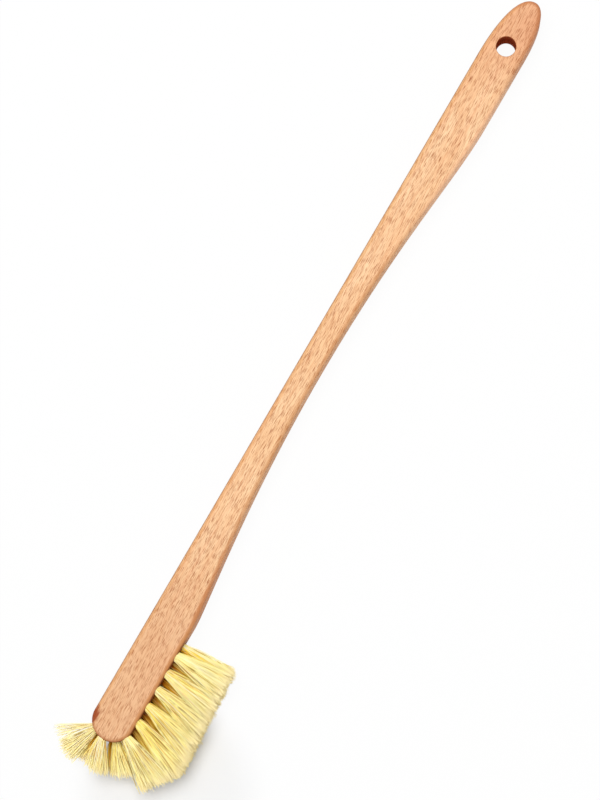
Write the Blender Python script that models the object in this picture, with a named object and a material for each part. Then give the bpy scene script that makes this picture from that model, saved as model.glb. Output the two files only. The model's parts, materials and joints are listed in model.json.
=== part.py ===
"""Bottle brush: a flat beech handle with tufts of plant fibre round its head end.

The handle is one plate with rounded edges. Its spine is straight. Its bristled edge runs straight
along the head, sweeps in to a neck and swells again to the grip, which has a hanging hole near its
rounded end. The tufts stand in three staggered rows of blind holes, along the bristled edge and
round the end of the head. Each tuft is a bundle of fibres folded round a flat wire anchor, whose
ends bite into the wall of its hole.

Units are metres and +Z is up. The plate lies on its rear face at z = 0. The origin is under the
centre of the head's round end, +X runs to the hanging hole and the bristles point to -Y.
"""

import random
from dataclasses import dataclass
from math import cos, pi, radians, sin, sqrt

import bmesh
import bpy
from mathutils import Matrix, Vector
from mathutils.geometry import interpolate_bezier

# Clearance between parts that are pressed together on the real brush
SEAT = 0.0003

# Handle plate
THICKNESS = 0.0155
HEAD_WIDTH = 0.0188
NECK_WIDTH = 0.0105
GRIP_WIDTH = 0.0179
EDGE_ROUND = 0.0024

# Stretches of the handle, from the first tuft to the end of the grip
BARE_HEAD = 0.0090
TAPER_LENGTH = 0.1220
SWELL_LENGTH = 0.1240
GRIP_LENGTH = 0.0558

# Reach of the curve's tangents at each end of the two sweeps
HEAD_SHOULDER = 0.0100
NECK_SWEEP = 0.0660
GRIP_SHOULDER = 0.0250

# The nose is the grip's rounded end: a quarter of an ellipse on each side, blunted at the tip
NOSE_SPINE_LENGTH = 0.0300
NOSE_EDGE_LENGTH = 0.0220
NOSE_OFFSET = 0.0013
NOSE_TANGENT = 0.55
NOSE_BLUNTNESS = 0.70

HANG_HOLE_DIAMETER = 0.0084
HANG_HOLE_FROM_END = 0.0223

# Tuft pattern along the bristled edge, whose arc lengths run from the start of the round end
FIRST_TUFT = 0.0410
TUFT_PITCH = 0.0081
MIDDLE_SIDE_TUFTS = 6
OUTER_SIDE_TUFTS = 5
ROW_INSET = 0.00305

# Side trim and lean: one plane, faced this far from the edge's normal, and tips that drift towards
# the end of the head, most of all where its round end starts
SIDE_TRIM = 0.0268
SIDE_TRIM_FACING = radians(-2.9)
TIP_DRIFT = 0.0108

# Corner tufts stand where the round end starts, as long as those of the side, trimmed by two planes
CORNER_ANGLE = radians(24)
CORNER_DRIFT = 0.0046
CORNER_TRIM = 0.0236
CORNER_TRIM_FACING = radians(36)

# End tufts lean back to the bristled edge and are trimmed short, round the centre of the round end
FRONT_END_ANGLE = radians(95)
FRONT_END_DRIFT = -0.0068
FRONT_END_TRIM = 0.0140
NEAR_END_ANGLE = radians(56)
NEAR_END_DRIFT = -0.0026
NEAR_END_TRIM = 0.0157
FAR_END_ANGLE = radians(125)
FAR_END_DRIFT = -0.0023
FAR_END_TRIM = 0.0174
REAR_NEAR_ANGLE = radians(69)
REAR_NEAR_DRIFT = -0.0046
REAR_NEAR_TRIM = 0.0152
REAR_FAR_ANGLE = radians(110)
REAR_FAR_DRIFT = -0.0040
REAR_FAR_TRIM = 0.0150

# Holes, anchors and the folded roots of the tufts
HOLE_DIAMETER = 0.0040
SIDE_HOLE_DEPTH = 0.0065
END_HOLE_DEPTH = 0.0038
FOLD_THICKNESS = 0.0006
ROOT_OUTSIDE = 0.0006
ANCHOR_HEIGHT = 0.0014
ANCHOR_THICKNESS = 0.0004
ANCHOR_BITE = 0.00045
ANCHOR_CHAMFER = 0.00035

# Strands, each a lock of fibres
END_SPREAD = 0.0051
STRANDS_IN_RINGS = (1, 7, 12)
STRAND_ROOT_RADIUS = 0.00024
STRAND_TIP_RADIUS = 0.00032
STRAND_PLAY = 0.00012
TRIM_PLAY = 0.00030
SEED = 11

# Facets
HOLE_SIDES = 12
HANG_HOLE_SIDES = 32
HEAD_END_STEPS = 26
SWEEP_STEPS = 14
NOSE_STEPS = 12
ROUND_OVER_STEPS = 4

# Sizes that follow from the ones above
HEAD_RADIUS = HEAD_WIDTH / 2
NECK_EDGE = NECK_WIDTH - HEAD_RADIUS
GRIP_EDGE = GRIP_WIDTH - HEAD_RADIUS
TAPER_START = FIRST_TUFT + BARE_HEAD
NECK = TAPER_START + TAPER_LENGTH
GRIP_START = NECK + SWELL_LENGTH
GRIP_END = GRIP_START + GRIP_LENGTH
GRIP_MIDLINE = (HEAD_RADIUS - GRIP_EDGE) / 2
NOSE_TIP = GRIP_MIDLINE - NOSE_OFFSET
ROW_SPACING = THICKNESS / 2 - ROW_INSET

# A hole is a prism, and so is the root in it: two opposite facets carry the anchor's slots
FACET_ANGLE = 2 * pi / HOLE_SIDES
ANCHOR_TURN = 1.5 * FACET_ANGLE
HOLE_APOTHEM = HOLE_DIAMETER / 2 * cos(FACET_ANGLE / 2)
ROOT_RADIUS = HOLE_DIAMETER / 2 - SEAT
PACK_RADIUS = ROOT_RADIUS * cos(FACET_ANGLE / 2) - STRAND_ROOT_RADIUS - STRAND_PLAY / 2
WINDOW_HEIGHT = ANCHOR_HEIGHT + 2 * SEAT

# Room that the tips of a side tuft have before they meet those of the next tufts
TIP_PITCH = TUFT_PITCH * (1 + TIP_DRIFT / FIRST_TUFT)
SIDE_SPREAD = TIP_PITCH / 2 - SEAT / 2 - STRAND_PLAY - STRAND_TIP_RADIUS
ROW_SHARE = 0.55
CROSS_SPREAD = min(ROW_SHARE * ROW_SPACING, ROW_INSET - SEAT) - STRAND_PLAY - STRAND_TIP_RADIUS

ROW_HEIGHTS = {"front": THICKNESS - ROW_INSET, "middle": THICKNESS / 2, "rear": ROW_INSET}


@dataclass(frozen=True)
class Station:
    """Where one tuft stands on the head.

    Attributes:
        label: Row and number, counted from the grip side.
        arc: Arc length along the edge, negative round the end of the head.
        height: Height of the row above the rear face.
        drift: How far the tips drift along the edge, towards the end of the head.
        short_trim: Reach of an end tuft, or None for the long trim of the bristled edge.
    """

    label: str
    arc: float
    height: float
    drift: float
    short_trim: float | None = None

    @property
    def angle(self) -> float:
        """Angle round the end of the head: 0 on the bristled edge, pi on the spine."""
        return min(max(-self.arc / HEAD_RADIUS, 0.0), pi)

    @property
    def frame(self) -> Matrix:
        """Frame at the mouth of the hole: X along the edge, Y up, Z out of the wood."""
        before_end = max(self.arc, 0.0)
        past_end = max(-self.arc - pi * HEAD_RADIUS, 0.0)
        mouth = Vector((
            before_end + past_end - HEAD_RADIUS * sin(self.angle),
            -HEAD_RADIUS * cos(self.angle),
            self.height,
        ))
        return (
            Matrix.Translation(mouth)
            @ Matrix.Rotation(-self.angle, 4, "Z")
            @ Matrix.Rotation(pi / 2, 4, "X")
        )

    @property
    def hole_depth(self) -> float:
        """Holes that converge inside the round end are kept shallow, so that wood stays between."""
        return SIDE_HOLE_DEPTH if self.arc >= 0 else END_HOLE_DEPTH

    def trimmed(self, foot: Vector, tip: Vector) -> Vector:
        """Return the end of a strand, run on or cut short to the trim, in the frame of the hole."""
        if self.short_trim:
            trim_radius = HEAD_RADIUS + tip.z
            return Vector((tip.x, tip.y, sqrt(trim_radius**2 - tip.x**2) - HEAD_RADIUS))
        shares = []
        for reach, facing in ((SIDE_TRIM, SIDE_TRIM_FACING), (CORNER_TRIM, CORNER_TRIM_FACING)):
            normal = Vector((-sin(facing), -cos(facing), 0))
            room = HEAD_RADIUS + reach - (self.frame @ foot).dot(normal)
            gain = (self.frame.to_3x3() @ (tip - foot)).dot(normal)
            shares.append(room / gain)
        return foot + (tip - foot) * min(shares)


def row_pattern(row: str) -> list[tuple]:
    """Return arc length, drift and short trim of each tuft in a row: the outer rows are staggered."""
    count, shift = (MIDDLE_SIDE_TUFTS, 0.0) if row == "middle" else (OUTER_SIDE_TUFTS, 0.5)
    side_arcs = [FIRST_TUFT - (number + shift) * TUFT_PITCH for number in range(count)]
    side = [(arc, TIP_DRIFT * (1 - arc / FIRST_TUFT), None) for arc in side_arcs]
    corner = (-CORNER_ANGLE * HEAD_RADIUS, CORNER_DRIFT, None)
    ends = {
        "front": [corner, (-FRONT_END_ANGLE * HEAD_RADIUS, FRONT_END_DRIFT, FRONT_END_TRIM)],
        "middle": [
            (-NEAR_END_ANGLE * HEAD_RADIUS, NEAR_END_DRIFT, NEAR_END_TRIM),
            (-FAR_END_ANGLE * HEAD_RADIUS, FAR_END_DRIFT, FAR_END_TRIM),
        ],
        "rear": [
            corner,
            (-REAR_NEAR_ANGLE * HEAD_RADIUS, REAR_NEAR_DRIFT, REAR_NEAR_TRIM),
            (-REAR_FAR_ANGLE * HEAD_RADIUS, REAR_FAR_DRIFT, REAR_FAR_TRIM),
        ],
    }
    return side + ends[row]


def stations() -> list[Station]:
    """Return the places of all the tufts, row by row."""
    places = []
    for row, height in ROW_HEIGHTS.items():
        for number, (arc, drift, short_trim) in enumerate(row_pattern(row), start=1):
            places.append(Station(f"{row}_{number}", arc, height, drift, short_trim))
    return places


def clear_scene() -> None:
    """Remove every object that the scene starts with."""
    for item in list(bpy.data.objects):
        bpy.data.objects.remove(item, do_unlink=True)


def make_material(name: str, colour: tuple, roughness: float, metallic: float = 0.0):
    """Return a Principled BSDF material."""
    material = bpy.data.materials.new(name)
    material.use_nodes = True
    shader = material.node_tree.nodes["Principled BSDF"]
    shader.inputs["Base Color"].default_value = (*colour, 1.0)
    shader.inputs["Roughness"].default_value = roughness
    shader.inputs["Metallic"].default_value = metallic
    return material


def add_object(name: str, bm: bmesh.types.BMesh, material=None, smooth_angle: float = 0.0):
    """Turn a bmesh with its faces made to point out into a linked object."""
    bmesh.ops.recalc_face_normals(bm, faces=bm.faces)
    mesh = bpy.data.meshes.new(name)
    bm.to_mesh(mesh)
    bm.free()
    if smooth_angle:
        mesh.shade_smooth()
        mesh.set_sharp_from_angle(angle=smooth_angle)
    if material:
        mesh.materials.append(material)
    item = bpy.data.objects.new(name, mesh)
    bpy.context.scene.collection.objects.link(item)
    return item


def subtract(target, cutter) -> None:
    """Cut one object out of another and keep the cutter as a hidden guide."""
    cutter.hide_render = True
    cutter.display_type = "WIRE"
    modifier = target.modifiers.new(f"cut {cutter.name}", "BOOLEAN")
    modifier.operation = "DIFFERENCE"
    modifier.solver = "EXACT"
    modifier.object = cutter


def ring(bm: bmesh.types.BMesh, centre: Vector, radius: float, sides: int, turn: float = 0.0) -> list:
    """Add the corners of a level regular polygon and return them in order."""
    corners = []
    for step in range(sides):
        angle = turn + 2 * pi * step / sides
        corners.append(bm.verts.new(centre + radius * Vector((cos(angle), sin(angle), 0))))
    return corners


def wall(bm: bmesh.types.BMesh, lower: list, upper: list, gaps: tuple = ()) -> list:
    """Join two rings with quads, leave out the sides listed in gaps and return the faces."""
    count = len(lower)
    faces = []
    for side in range(count):
        if side not in gaps:
            after = (side + 1) % count
            faces.append(bm.faces.new((lower[side], lower[after], upper[after], upper[side])))
    return faces


def loop_edges(bm: bmesh.types.BMesh, corners: list) -> list:
    """Return the edges between neighbouring corners of a ring."""
    return [bm.edges.get((corners[index - 1], corners[index])) for index in range(len(corners))]


def sweep(start: tuple, start_handle: tuple, end_handle: tuple, end: tuple, steps: int) -> list:
    """Return the points of a Bezier stretch of the outline, without its last point."""
    knots = [Vector((*point, 0.0)) for point in (start, start_handle, end_handle, end)]
    return interpolate_bezier(*knots, steps + 1)[:-1]


def handle_outline() -> list:
    """Return the outline of the plate's silhouette, anticlockwise from above."""
    head_end = []
    for step in range(HEAD_END_STEPS):
        angle = pi * step / HEAD_END_STEPS
        head_end.append(Vector((-HEAD_RADIUS * sin(angle), HEAD_RADIUS * cos(angle), 0.0)))
    head_side = [Vector((0.0, -HEAD_RADIUS, 0.0))]
    taper = sweep(
        (TAPER_START, -HEAD_RADIUS),
        (TAPER_START + HEAD_SHOULDER, -HEAD_RADIUS),
        (NECK - NECK_SWEEP, -NECK_EDGE),
        (NECK, -NECK_EDGE),
        SWEEP_STEPS,
    )
    swell = sweep(
        (NECK, -NECK_EDGE),
        (NECK + NECK_SWEEP, -NECK_EDGE),
        (GRIP_START - GRIP_SHOULDER, -GRIP_EDGE),
        (GRIP_START, -GRIP_EDGE),
        SWEEP_STEPS,
    )
    grip_side = [Vector((GRIP_START, -GRIP_EDGE, 0.0))]
    edge_to_nose = sweep(
        (GRIP_END - NOSE_EDGE_LENGTH, -GRIP_EDGE),
        (GRIP_END - NOSE_EDGE_LENGTH * (1 - NOSE_TANGENT), -GRIP_EDGE),
        (GRIP_END, NOSE_TIP - (NOSE_TIP + GRIP_EDGE) * NOSE_BLUNTNESS),
        (GRIP_END, NOSE_TIP),
        NOSE_STEPS,
    )
    nose_to_spine = sweep(
        (GRIP_END, NOSE_TIP),
        (GRIP_END, NOSE_TIP + (HEAD_RADIUS - NOSE_TIP) * NOSE_BLUNTNESS),
        (GRIP_END - NOSE_SPINE_LENGTH * (1 - NOSE_TANGENT), HEAD_RADIUS),
        (GRIP_END - NOSE_SPINE_LENGTH, HEAD_RADIUS),
        NOSE_STEPS,
    )
    spine = [Vector((GRIP_END - NOSE_SPINE_LENGTH, HEAD_RADIUS, 0.0))]
    return head_end + head_side + taper + swell + grip_side + edge_to_nose + nose_to_spine + spine


def make_handle(places: list[Station], material):
    """Build the plate, round its edges over, then bore the hanging hole and the tuft holes."""
    bm = bmesh.new()
    rear = bm.faces.new([bm.verts.new(point) for point in handle_outline()])
    grown = bmesh.ops.extrude_face_region(bm, geom=[rear])["geom"]
    front = [item for item in grown if isinstance(item, bmesh.types.BMVert)]
    bmesh.ops.translate(bm, verts=front, vec=(0, 0, THICKNESS))
    handle = add_object("handle", bm, material)

    round_over = handle.modifiers.new("round over", "BEVEL")
    round_over.width = EDGE_ROUND
    round_over.segments = ROUND_OVER_STEPS
    round_over.limit_method = "ANGLE"
    round_over.angle_limit = radians(60)
    round_over.use_clamp_overlap = False

    subtract(handle, hanging_hole_cutter())
    subtract(handle, tuft_hole_cutter(places))
    return handle


def hanging_hole_cutter():
    """Return a prism through the grip, longer than the plate is thick."""
    bm = bmesh.new()
    centre = Vector((GRIP_END - HANG_HOLE_FROM_END, GRIP_MIDLINE, -EDGE_ROUND))
    radius = HANG_HOLE_DIAMETER / 2
    lower = ring(bm, centre, radius, HANG_HOLE_SIDES)
    upper = ring(bm, centre + Vector((0, 0, THICKNESS + 2 * EDGE_ROUND)), radius, HANG_HOLE_SIDES)
    wall(bm, lower, upper)
    bm.faces.new(lower)
    bm.faces.new(upper)
    return add_object("hanging_hole_cutter", bm)


def anchor_seat(place: Station) -> float:
    """Height of the anchor's lower edge in the frame of its hole."""
    return -place.hole_depth + SEAT + FOLD_THICKNESS + SEAT


def anchor_sides() -> tuple:
    """Return the two opposite sides of a hole, and of its root, that the anchor passes."""
    side = round(ANCHOR_TURN / FACET_ANGLE - 0.5)
    return side, side + HOLE_SIDES // 2


def tuft_hole_cutter(places: list[Station]):
    """Return one blind hole for each tuft, with two slots at the foot for the anchor's ends."""
    bm = bmesh.new()
    for place in places:
        levels = (-place.hole_depth, anchor_seat(place) + ANCHOR_HEIGHT + SEAT, EDGE_ROUND)
        floor, slot_top, outside = [
            ring(bm, Vector((0, 0, level)), HOLE_DIAMETER / 2, HOLE_SIDES) for level in levels
        ]
        lower_wall = wall(bm, floor, slot_top)
        upper_wall = wall(bm, slot_top, outside)
        caps = [bm.faces.new(floor), bm.faces.new(outside)]
        for side in anchor_sides():
            bitten = bmesh.ops.extrude_discrete_faces(bm, faces=[lower_wall[side]])["faces"][0]
            lower_wall[side] = bitten
            middle = FACET_ANGLE * (side + 0.5)
            outward = Vector((cos(middle), sin(middle), 0))
            bmesh.ops.translate(bm, verts=bitten.verts, vec=outward * (ANCHOR_BITE + SEAT))
        made = {corner for face in lower_wall + upper_wall + caps for corner in face.verts}
        bmesh.ops.transform(bm, matrix=place.frame, verts=list(made))
    return add_object("tuft_hole_cutter", bm)


def make_anchor(place: Station, material):
    """Cut a piece of flat wire with its leading corners clipped and stand it askew in its hole."""
    half = HOLE_APOTHEM + ANCHOR_BITE
    profile = (
        (-half, ANCHOR_HEIGHT),
        (-half, ANCHOR_CHAMFER),
        (-half + ANCHOR_CHAMFER, 0.0),
        (half - ANCHOR_CHAMFER, 0.0),
        (half, ANCHOR_CHAMFER),
        (half, ANCHOR_HEIGHT),
    )
    bm = bmesh.new()
    face = bm.faces.new([bm.verts.new((x, -ANCHOR_THICKNESS / 2, z)) for x, z in profile])
    grown = bmesh.ops.extrude_face_region(bm, geom=[face])["geom"]
    far = [item for item in grown if isinstance(item, bmesh.types.BMVert)]
    bmesh.ops.translate(bm, verts=far, vec=(0, ANCHOR_THICKNESS, 0))
    anchor = add_object(f"anchor_{place.label}", bm, material)
    seat = Matrix.Translation((0, 0, anchor_seat(place))) @ Matrix.Rotation(ANCHOR_TURN, 4, "Z")
    anchor.matrix_world = place.frame @ seat
    return anchor


def add_root(bm: bmesh.types.BMesh, place: Station) -> list:
    """Add the packed root of a tuft, folded under its anchor, and return its open upper ring."""
    fold = -place.hole_depth + SEAT
    window = fold + FOLD_THICKNESS
    levels = (fold, window, window + WINDOW_HEIGHT, ROOT_OUTSIDE)
    rings = [ring(bm, Vector((0, 0, level)), ROOT_RADIUS, HOLE_SIDES) for level in levels]
    bm.faces.new(rings[0])
    wall(bm, rings[0], rings[1])
    wall(bm, rings[1], rings[2], gaps=anchor_sides())
    wall(bm, rings[2], rings[3])

    near, far = anchor_sides()
    passage = [(near, far + 1), (near + 1, far)]
    for level in (rings[1], rings[2]):
        bm.faces.new((level[near], level[near + 1], level[far], level[far + 1]))
    for one, other in passage:
        bm.faces.new((rings[1][one], rings[1][other], rings[2][other], rings[2][one]))
    return rings[3]


def strand_ends(place: Station, chance: random.Random):
    """Yield the foot and the trimmed tip of each strand in the frame of the hole.

    The tips keep the order of the feet, spread wider, so that no two strands cross.
    """
    outer_ring = len(STRANDS_IN_RINGS) - 1
    spread = END_SPREAD if place.short_trim else SIDE_SPREAD
    nominal = place.short_trim or SIDE_TRIM
    for number, count in enumerate(STRANDS_IN_RINGS):
        share = number / outer_ring
        turn = chance.uniform(0, 2 * pi)
        for step in range(count):
            angle = turn + 2 * pi * step / count
            foot = Vector((cos(angle), sin(angle), 0)) * PACK_RADIUS * share
            foot.z = ROOT_OUTSIDE
            along = spread * share * cos(angle) + chance.uniform(-STRAND_PLAY, STRAND_PLAY)
            across = CROSS_SPREAD * share * sin(angle) + chance.uniform(-STRAND_PLAY, STRAND_PLAY)
            tip = place.trimmed(foot, Vector((along - place.drift, across, nominal)))
            run = (tip - foot).normalized()
            yield foot, tip + run * chance.uniform(-TRIM_PLAY, TRIM_PLAY)


def add_strand(bm: bmesh.types.BMesh, foot: Vector, tip: Vector, turn: float) -> list:
    """Add one open-footed, three-sided strand and return the corners of its foot."""
    lower = ring(bm, foot, STRAND_ROOT_RADIUS, 3, turn)
    upper = ring(bm, tip, STRAND_TIP_RADIUS, 3, turn)
    wall(bm, lower, upper)
    bm.faces.new(upper)
    return lower


def make_tuft(place: Station, chance: random.Random, material):
    """Fuse a bundle of strands to its folded root and stand it in its hole."""
    bm = bmesh.new()
    rims = [add_root(bm, place)]
    for foot, tip in strand_ends(place, chance):
        rims.append(add_strand(bm, foot, tip, chance.uniform(0, 2 * pi)))
    open_edges = [edge for rim in rims for edge in loop_edges(bm, rim)]
    bmesh.ops.triangle_fill(bm, edges=open_edges, use_beauty=True, use_dissolve=False)
    tuft = add_object(f"tuft_{place.label}", bm, material)
    tuft.matrix_world = place.frame
    return tuft


def main() -> None:
    """Build the whole brush."""
    clear_scene()
    beech = make_material("beech", (0.84, 0.48, 0.26), roughness=0.55)
    fibre = make_material("plant_fibre", (0.86, 0.70, 0.27), roughness=0.6)
    steel = make_material("anchor_wire", (0.56, 0.57, 0.58), roughness=0.35, metallic=1.0)

    places = stations()
    make_handle(places, beech)
    chance = random.Random(SEED)
    for place in places:
        make_tuft(place, chance, fibre)
        make_anchor(place, steel)


main()
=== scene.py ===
"""Looks of the bottle brush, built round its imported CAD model.

The beech handle and the tufts of plant fibre replace their CAD solids with finer ones of the same
sizes. The wire anchors inside the wood are the CAD's own. Units are metres, the brush lies on its
rear face at z = 0, +X runs from the head to the hanging hole and the bristles point to -Y.
"""

import json
import logging
from collections.abc import Callable, Iterator, Sequence
from contextlib import contextmanager
from dataclasses import dataclass, field
from enum import Enum
from functools import cached_property
from math import cos, pi, radians, sin

import bmesh
import bpy
import numpy as np
from mathutils import Matrix, Vector

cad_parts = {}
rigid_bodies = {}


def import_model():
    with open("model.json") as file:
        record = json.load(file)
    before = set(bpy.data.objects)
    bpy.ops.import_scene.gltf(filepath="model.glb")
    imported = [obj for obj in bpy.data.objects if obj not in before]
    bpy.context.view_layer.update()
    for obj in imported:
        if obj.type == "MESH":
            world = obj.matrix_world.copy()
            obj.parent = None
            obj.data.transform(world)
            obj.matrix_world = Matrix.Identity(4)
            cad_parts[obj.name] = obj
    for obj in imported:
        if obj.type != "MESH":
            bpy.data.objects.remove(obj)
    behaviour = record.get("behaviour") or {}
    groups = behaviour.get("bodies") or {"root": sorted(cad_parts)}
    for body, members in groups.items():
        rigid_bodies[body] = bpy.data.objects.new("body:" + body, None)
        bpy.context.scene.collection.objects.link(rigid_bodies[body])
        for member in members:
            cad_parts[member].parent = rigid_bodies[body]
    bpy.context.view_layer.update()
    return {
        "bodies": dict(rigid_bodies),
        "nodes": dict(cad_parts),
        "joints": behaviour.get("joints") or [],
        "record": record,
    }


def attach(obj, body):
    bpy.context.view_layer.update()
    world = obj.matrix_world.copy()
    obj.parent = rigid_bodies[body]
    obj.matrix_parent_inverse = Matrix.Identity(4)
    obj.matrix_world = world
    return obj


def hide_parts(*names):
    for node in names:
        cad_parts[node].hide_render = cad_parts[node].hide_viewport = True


LOG = logging.getLogger("bottle_brush")
MM = 0.001

# Length of the handles of a curve that stands for a quarter of a circle of radius 1
QUARTER_CIRCLE = 0.5523

# Turn from one fibre to the next that fills a round bundle evenly
GOLDEN_TURN = 2.39996

# Turn of the flat wires, and of the slots for them, about the axes of their holes
WIRE_TURN = radians(45)

# A normal's share of Z past which a face counts as an end of something upright
END_FACE = 0.9

# Tone under which a tuft stands free enough to be seen in full light
LIT_TONE = 0.4

Colour = tuple[float, float, float, float]
Triple = tuple[float, float, float]
Pair = tuple[float, float]

WHITE: Colour = (1.0, 1.0, 1.0, 1.0)


# Colours


def srgb(red: int, green: int, blue: int) -> Colour:
    """Turn a colour as seen on a screen into the linear one that a shader takes.

    Args:
        red: Red, from 0 to 255.
        green: Green, from 0 to 255.
        blue: Blue, from 0 to 255.

    Returns:
        Linear red, green and blue with full alpha.
    """
    parts = [part / 255 for part in (red, green, blue)]
    linear = [part / 12.92 if part <= 0.04045 else ((part + 0.055) / 1.055) ** 2.4 for part in parts]
    return (*linear, 1.0)


# Shader arithmetic


@dataclass(frozen=True)
class Value:
    """What one socket of a node gives out, with arithmetic that adds Math nodes.

    Attributes:
        tree: The nodes that it belongs to.
        socket: The socket.
    """

    tree: "ShaderTree"
    socket: bpy.types.NodeSocket

    def other(self, output: str) -> "Value":
        """Give another output of the same node."""
        return Value(self.tree, self.socket.node.outputs[output])

    def _math(self, operation: str, first: "Value | float", second: "Value | float") -> "Value":
        """Join two values by a Math node."""
        return self.tree.node("ShaderNodeMath", {"operation": operation}, {0: first, 1: second})

    def __add__(self, other: "Value | float") -> "Value":
        """Add."""
        return self._math("ADD", self, other)

    def __radd__(self, other: float) -> "Value":
        """Add to a number."""
        return self._math("ADD", other, self)

    def __sub__(self, other: "Value | float") -> "Value":
        """Subtract."""
        return self._math("SUBTRACT", self, other)

    def __rsub__(self, other: float) -> "Value":
        """Subtract from a number."""
        return self._math("SUBTRACT", other, self)

    def __mul__(self, other: "Value | float") -> "Value":
        """Multiply."""
        return self._math("MULTIPLY", self, other)

    def __rmul__(self, other: float) -> "Value":
        """Multiply a number."""
        return self._math("MULTIPLY", other, self)

    def __pow__(self, other: float) -> "Value":
        """Raise to a power."""
        return self._math("POWER", self, other)

    def __abs__(self) -> "Value":
        """Drop the sign."""
        return self._math("ABSOLUTE", self, 0.0)

    def at_most(self, limit: float) -> "Value":
        """Hold the value at or under a limit."""
        return self._math("MINIMUM", self, limit)

    def over(self, start: float, end: float) -> "Value":
        """Rise smoothly from 0 at start to 1 at end, or fall where start is the larger.

        Args:
            start: Input that gives 0.
            end: Input that gives 1.

        Returns:
            The eased value, held between 0 and 1.
        """
        low, high, to_low, to_high = (start, end, 0.0, 1.0) if start < end else (end, start, 1.0, 0.0)
        return self.tree.node(
            "ShaderNodeMapRange",
            {"interpolation_type": "SMOOTHSTEP"},
            {"Value": self, "From Min": low, "From Max": high, "To Min": to_low, "To Max": to_high},
        )


# A mask times how strongly it shows at most, and the colour that it lays on
Layer = tuple[Value, Colour]


class ShaderTree:
    """A material's or world's nodes, added one by one."""

    def __init__(self, owner: bpy.types.Material | bpy.types.World) -> None:
        """Empty the owner's nodes.

        Args:
            owner: The material or world.
        """
        owner.use_nodes = True
        self.nodes = owner.node_tree.nodes
        self.links = owner.node_tree.links
        self.nodes.clear()

    def node(self, kind: str, settings: dict | None = None, values: dict | None = None,
             output: int | str = 0) -> Value:
        """Add a node, set its options first and then its sockets.

        Args:
            kind: The node's type.
            settings: Its options. A ramp's stops come as pairs of place and colour under "stops".
            values: What goes into its sockets, by name or number: values to link, or constants.
            output: The socket to give out.

        Returns:
            The chosen output, or the first input of a node that has no output.
        """
        made = self.nodes.new(kind)
        for name, choice in (settings or {}).items():
            if name == "stops":
                self._set_stops(made.color_ramp, choice)
            else:
                setattr(made, name, choice)
        for name, given in (values or {}).items():
            if isinstance(given, Value):
                self.links.new(given.socket, made.inputs[name])
            else:
                made.inputs[name].default_value = given
        return Value(self, made.outputs[output] if made.outputs else made.inputs[0])

    @staticmethod
    def _set_stops(ramp: bpy.types.ColorRamp, stops: Sequence[tuple[float, Colour]]) -> None:
        """Give a ramp its stops.

        Args:
            ramp: The ramp.
            stops: Pairs of place and colour.
        """
        while len(ramp.elements) < len(stops):
            ramp.elements.new(1.0)
        for element, (place, colour) in zip(ramp.elements, stops):
            element.position = place
            element.color = colour

    def mix(self, share: Value | float, first: Value | Colour, second: Value | Colour) -> Value:
        """Mix two colours.

        Args:
            share: How much of the second colour shows, from 0 to 1.
            first: The colour where the share is 0.
            second: The colour where the share is 1.

        Returns:
            The mixed colour.
        """
        settings = {"data_type": "RGBA", "blend_type": "MIX", "clamp_factor": True}
        return self.node("ShaderNodeMix", settings, {0: share, 6: first, 7: second}, output=2)

    def layered(self, base: Value, layers: Sequence[Layer]) -> Value:
        """Lay colours over a base, one after the other.

        Args:
            base: The colour underneath.
            layers: The masks and their colours.

        Returns:
            The colour on top.
        """
        for mask, colour in layers:
            base = self.mix(mask, base, colour)
        return base

    def vector(self, operation: str, first: Value, second: Value | Triple, output: int | str = 0) -> Value:
        """Join two vectors by a Vector Math node."""
        return self.node("ShaderNodeVectorMath", {"operation": operation}, {0: first, 1: second}, output)

    def axes(self, vector: Value) -> dict[str, Value]:
        """Split a vector, or a colour, into X, Y and Z."""
        first = self.node("ShaderNodeSeparateXYZ", values={0: vector})
        return {axis: first.other(axis) for axis in "XYZ"}

    @cached_property
    def place(self) -> Value:
        """The point on the object, in millimetres."""
        coordinates = self.node("ShaderNodeTexCoord", output="Object")
        return self.node("ShaderNodeVectorMath", {"operation": "SCALE"}, {0: coordinates, "Scale": 1 / MM})

    @cached_property
    def spot(self) -> dict[str, Value]:
        """X, Y and Z of the point on the object, in millimetres."""
        return self.axes(self.place)

    @cached_property
    def normal(self) -> dict[str, Value]:
        """X, Y and Z of the direction that the surface faces."""
        return self.axes(self.node("ShaderNodeNewGeometry", output="Normal"))

    def turned(self, turn: float, unit: Triple) -> Value:
        """Turn the place about Z, then measure it in units of the given lengths.

        Args:
            turn: Turn about Z, in radians.
            unit: Length of one unit along each axis after the turn, in millimetres.

        Returns:
            The place in the new units.
        """
        straight = self.node("ShaderNodeMapping", values={"Vector": self.place, "Rotation": (0, 0, turn)})
        return self.vector("MULTIPLY", straight, tuple(1 / length for length in unit))

    def noise(self, turn: float, unit: Triple, detail: float = 2.0, roughness: float = 0.5) -> Value:
        """Give soft noise between 0 and 1.

        Args:
            turn: Turn about Z that brings its patches onto the axes, in radians.
            unit: Size of a patch along each axis, in millimetres.
            detail: How many finer layers it has.
            roughness: How strong the finer layers are.

        Returns:
            The noise.
        """
        place = self.turned(turn, unit)
        values = {"Vector": place, "Scale": 1.0, "Detail": detail, "Roughness": roughness}
        return self.node("ShaderNodeTexNoise", {"noise_dimensions": "3D"}, values)

    def bump(self, height: Value, depth: float, strength: float) -> Value:
        """Turn a height into a bent normal, for a relief of the given depth in metres."""
        values = {"Height": height, "Distance": depth, "Strength": strength}
        return self.node("ShaderNodeBump", values=values, output="Normal")

    def surface(self, values: dict) -> None:
        """Finish a material with one Principled shader."""
        shader = self.node("ShaderNodeBsdfPrincipled", values=values)
        self.node("ShaderNodeOutputMaterial", values={"Surface": shader})


# Finishes


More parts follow.
